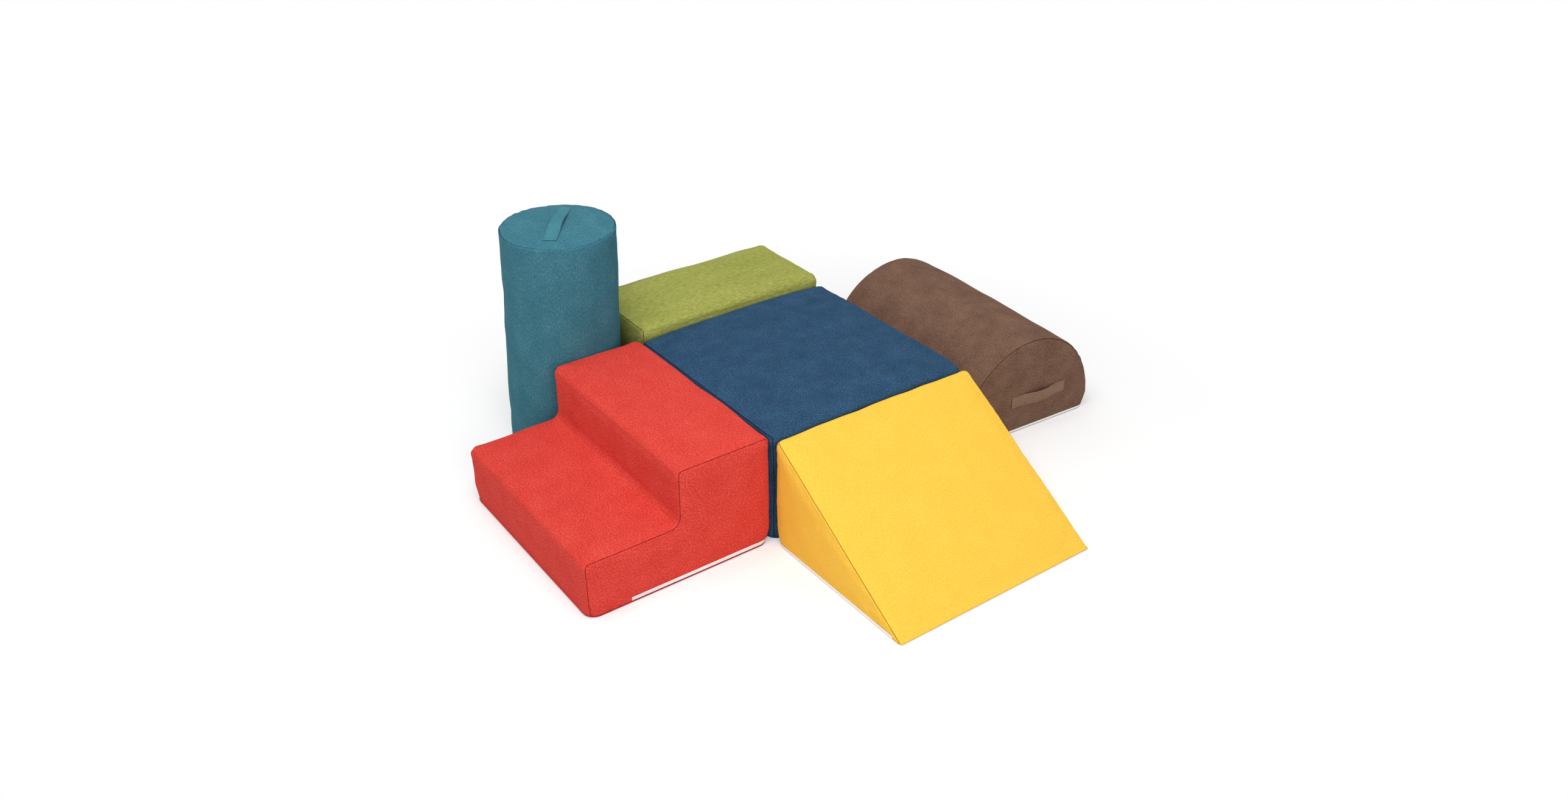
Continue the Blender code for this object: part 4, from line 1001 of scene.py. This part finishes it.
def roll_rows(inset, cell, columns, crown):
    """Rings from the foot up the side, over the sewn edge and to the middle of the top."""
    levels = np.linspace(0, ROLL_HEIGHT - EDGE_ROUND, round(ROLL_HEIGHT / cell) + 1)
    rows = [roll_ring(-UNDERLAP, inset, 1, columns)] + [roll_ring(z, inset, 1, columns) for z in levels]
    radius = EDGE_ROUND - inset
    for angle in np.linspace(0, QUARTER, 9)[1:]:
        drop = EDGE_ROUND - radius * math.cos(angle)
        rows.append(roll_ring(ROLL_HEIGHT - EDGE_ROUND + radius * math.sin(angle), drop, 1, columns))
    rim = 1 - EDGE_ROUND / ROLL_TOP_RADIUS
    for share in np.linspace(1, INNERMOST, round(ROLL_TOP_RADIUS / cell) + 1)[1:]:
        z = ROLL_HEIGHT - inset + crown * (1 - share ** 3)
        rows.append(roll_ring(z, 0, share * rim, columns))
    return np.array(rows), len(levels) + 4


def over_zip(middle):
    """Whether a place on the tube is above the zip."""
    return ROLL_ZIP_FROM < math.degrees(math.atan2(middle.y, middle.x)) < ROLL_ZIP_TO


def roll_tube(rows, normals, top_seam):
    """The tube: a sheet of cloth closed by one upright seam, its top edge turned in at the round top."""
    wrapped = np.concatenate([rows, rows[:, :1]], 1)[:top_seam + 1]
    lean = np.concatenate([normals, normals[:, :1]], 1)[:top_seam + 1]
    cloth = np.array([*wrapped[:-2], *lip(wrapped[-1], wrapped[-2], lean[-1])])
    lean = np.concatenate([lean[:-2], lean[-1:], lean[-1:], lean[-1:]])
    left = lip(cloth[:, 0], cloth[:, 1], lean[:, 0])[::-1]
    right = lip(cloth[:, -1], cloth[:, -2], lean[:, -1])
    cloth = np.concatenate([np.stack(left, 1), cloth[:, 1:-1], np.stack(right, 1)], 1)
    metres = np.stack([steps_along(cloth, 1), steps_along(cloth, 0)], 2)
    # Distances from the upright seam and from the top seam, which set the painted seam shade
    from_edge = np.minimum(metres[..., 0], metres[:, -1:, 0] - metres[..., 0])
    from_top = np.maximum(0, metres[-2:-1, :, 1] - metres[..., 1])
    mesh = skin(cloth, False, (), metres, np.minimum(from_edge, from_top))
    bmesh.ops.recalc_face_normals(mesh, faces=mesh.faces)
    lower, _, edge = hem_levels(*roll.zip_sizes)
    turns = [math.radians(turn) for turn in (ROLL_ZIP_FROM, ROLL_ZIP_TO)]
    zip_ends = [((0, 0, 0), (-math.sin(turn), math.cos(turn), 0)) for turn in turns]
    mesh = trimmed(mesh, lower, edge, zip_ends, over_zip)
    as_piece(roll, "tube_cloth", mesh, roll.finish, ["tube_panel"])


def roll_top(rows, normals, top_seam):
    """The round top, its edge turned in at the seam."""
    ring = rows[top_seam:][::-1]
    cloth = np.array([*ring[:-2], *lip(ring[-1], ring[-2], normals[top_seam])])
    # Distance from the top seam, which sets the painted seam shade
    reach = steps_along(cloth, 0)
    mesh = skin(cloth, True, (cloth[0].mean(0),), cloth[..., [0, 1]], np.maximum(0, reach[-2:-1] - reach))
    bmesh.ops.recalc_face_normals(mesh, faces=mesh.faces)
    as_piece(roll, "top_cloth", mesh, roll.finish, ["top_panel"])


rows, top_seam = roll_rows(0, CELL, ROLL_COLUMNS, FACE_CROWN * STUFFED_CROWN)
rows = stuffed(rows, (top_seam,), ROLL_GIVE)
rows, top_seam = finer_grid(rows), 2 * top_seam
rows, normals, _ = worn_in(rows, (top_seam,), [], ROLL_SEED, soft=0.0016, pucker=0.0008)
roll_tube(rows, normals, top_seam)
roll_top(rows, normals, top_seam)

rows, _ = roll_rows(FOAM_INSET, FOAM_CELL, ROLL_COLUMNS // 2, FACE_CROWN)
mesh = skin(rows, True, (rows[0].mean(0), rows[-1].mean(0)), rows[..., [0, 1]])
saw_flat(mesh, [foam_floor])
as_piece(roll, "foam", mesh, foam, ["foam_core"])


def roll_hem(z, inset, degrees):
    """Plan of the roll's hem at a height."""
    angles = np.radians(degrees)
    rise = z / ROLL_HEIGHT
    radius = ROLL_BASE_RADIUS - roll_taper * rise - inset
    return list(zip(ROLL_LEAN[0] * rise + radius * np.cos(angles),
                    ROLL_LEAN[1] * rise + radius * np.sin(angles)))


# Degrees between the points of the roll's hem
hem_step = 360 / ROLL_COLUMNS
base_sheet(roll, lambda inset: roll_hem(0, inset, np.arange(0, 360, hem_step)), roll_cloth)
zip_turns = np.arange(ROLL_ZIP_FROM, ROLL_ZIP_TO + 0.1, hem_step)
sew_zip(roll, lambda inset, z: roll_hem(z, inset, zip_turns), (0, 0))

strap_plane = roll.place @ Matrix.Translation((*ROLL_LEAN, ROLL_HEIGHT))
strap_plane = strap_plane @ Matrix.Rotation(ROLL_STRAP_ANGLE, 4, "Z")
carry_strap(roll, ROLL_STRAP_LENGTH, ROLL_STRAP_RISE, strap_plane, "top_cloth",
            brushed_cloth("teal strap cloth", "#2f6676", "#43818f", "#629aa6"),
            sewing_thread("dark teal thread", "#193b46", "#28545f"))

# Floor and light
# A sheet of white studio paper under two wide soft lamps, one overhead and one in front, with an even
# white room all round, and the camera that looks down on the blocks from the front left.


def seen_directly(tree):
    """1 for what the camera sees straight on or in a glossy surface, 0 for light on the blocks."""
    path = add_node(tree, "ShaderNodeLightPath")
    return add_node(tree, "ShaderNodeMath", [("operation", "MAXIMUM")],
                    [(0, path.outputs["Is Camera Ray"]), (1, path.outputs["Is Glossy Ray"])]).outputs[0]


def studio_floor():
    """Matt white paper: pure white away from the blocks, with their soft shadows near them."""
    material = bpy.data.materials.new("white paper floor")
    material.use_nodes = True
    tree = material.node_tree
    tree.nodes.clear()
    seen = seen_directly(tree)
    paper = add_node(tree, "ShaderNodeBsdfDiffuse", [("Color", linear("#e6e6e6"))]).outputs[0]
    lift = add_node(tree, "ShaderNodeMath", [("operation", "MULTIPLY"), (1, 0.28)], [(0, seen)]).outputs[0]
    glow = add_node(tree, "ShaderNodeEmission", links=[("Strength", lift)]).outputs[0]
    near = add_node(tree, "ShaderNodeAddShader", links=[(0, paper), (1, glow)]).outputs[0]
    place = add_node(tree, "ShaderNodeTexCoord").outputs["Object"]
    reach = add_node(tree, "ShaderNodeVectorMath", [("operation", "LENGTH")], [(0, place)]).outputs["Value"]
    far = add_node(tree, "ShaderNodeMapRange", [("From Min", 0.92), ("From Max", 1.35)],
                   [("Value", reach)]).outputs[0]
    far = add_node(tree, "ShaderNodeMath", [("operation", "MULTIPLY")], [(0, far), (1, seen)]).outputs[0]
    white = add_node(tree, "ShaderNodeEmission", [("Strength", 1.0)]).outputs[0]
    both = add_node(tree, "ShaderNodeMixShader", links=[(0, far), (1, near), (2, white)]).outputs[0]
    add_node(tree, "ShaderNodeOutputMaterial", links=[("Surface", both)])
    return material


FLOOR_HALF_SIDE = 15
# The paper lies this far under the blocks, so that the two surfaces don't flicker through each other
FLOOR_GAP = 0.0004
mesh = bmesh.new()
bmesh.ops.create_grid(mesh, x_segments=1, y_segments=1, size=FLOOR_HALF_SIDE)
data = bpy.data.meshes.new("studio_floor")
mesh.to_mesh(data)
mesh.free()
data.materials.append(studio_floor())
floor = bpy.data.objects.new("studio_floor", data)
floor.location = (0, 0, -FLOOR_GAP)
bpy.context.scene.collection.objects.link(floor)

world = bpy.data.worlds.new("studio")
bpy.context.scene.world = world
world.use_nodes = True
tree = world.node_tree
tree.nodes.clear()
seen = seen_directly(tree)
room = add_node(tree, "ShaderNodeBackground", [("Color", (1, 1, 1, 1)), ("Strength", 0.55)]).outputs[0]
white = add_node(tree, "ShaderNodeBackground", [("Color", (1, 1, 1, 1)), ("Strength", 1.0)]).outputs[0]
mixed = add_node(tree, "ShaderNodeMixShader", links=[(0, seen), (1, room), (2, white)]).outputs[0]
add_node(tree, "ShaderNodeOutputWorld", links=[("Surface", mixed)])


def soft_lamp(name, location, aim, size, power):
    """A round lamp behind a diffuser, aimed at a place."""
    lamp = bpy.data.lights.new(name, "AREA")
    lamp.shape = "DISK"
    lamp.size = size
    lamp.energy = power
    holder = bpy.data.objects.new(name, lamp)
    holder.location = location
    holder.rotation_euler = (Vector(aim) - Vector(location)).to_track_quat("-Z", "Y").to_euler()
    bpy.context.scene.collection.objects.link(holder)


soft_lamp("overhead_lamp", (-1.2, -0.6, 3.6), (0, 0, 0), 2.6, 66)
soft_lamp("front_lamp", (-1.4, -3.6, 1.8), (0, 0, 0.2), 2.2, 36)

# Place, aim and lens in millimetres of the photo's camera, fitted to the blocks' edges
CAMERA_PLACE = (-1.791, -2.392, 1.927)
CAMERA_AIM = (0.127, 0.241, 0)
CAMERA_LENS = 29.63
camera_data = bpy.data.cameras.new("photo_camera")
camera_data.lens = CAMERA_LENS
camera_data.sensor_width = 36
camera = bpy.data.objects.new("photo_camera", camera_data)
camera.location = CAMERA_PLACE
camera.rotation_euler = (Vector(CAMERA_AIM) - camera.location).to_track_quat("-Z", "Y").to_euler()
bpy.context.scene.collection.objects.link(camera)
bpy.context.scene.camera = camera
bpy.context.scene.view_settings.view_transform = "Standard"
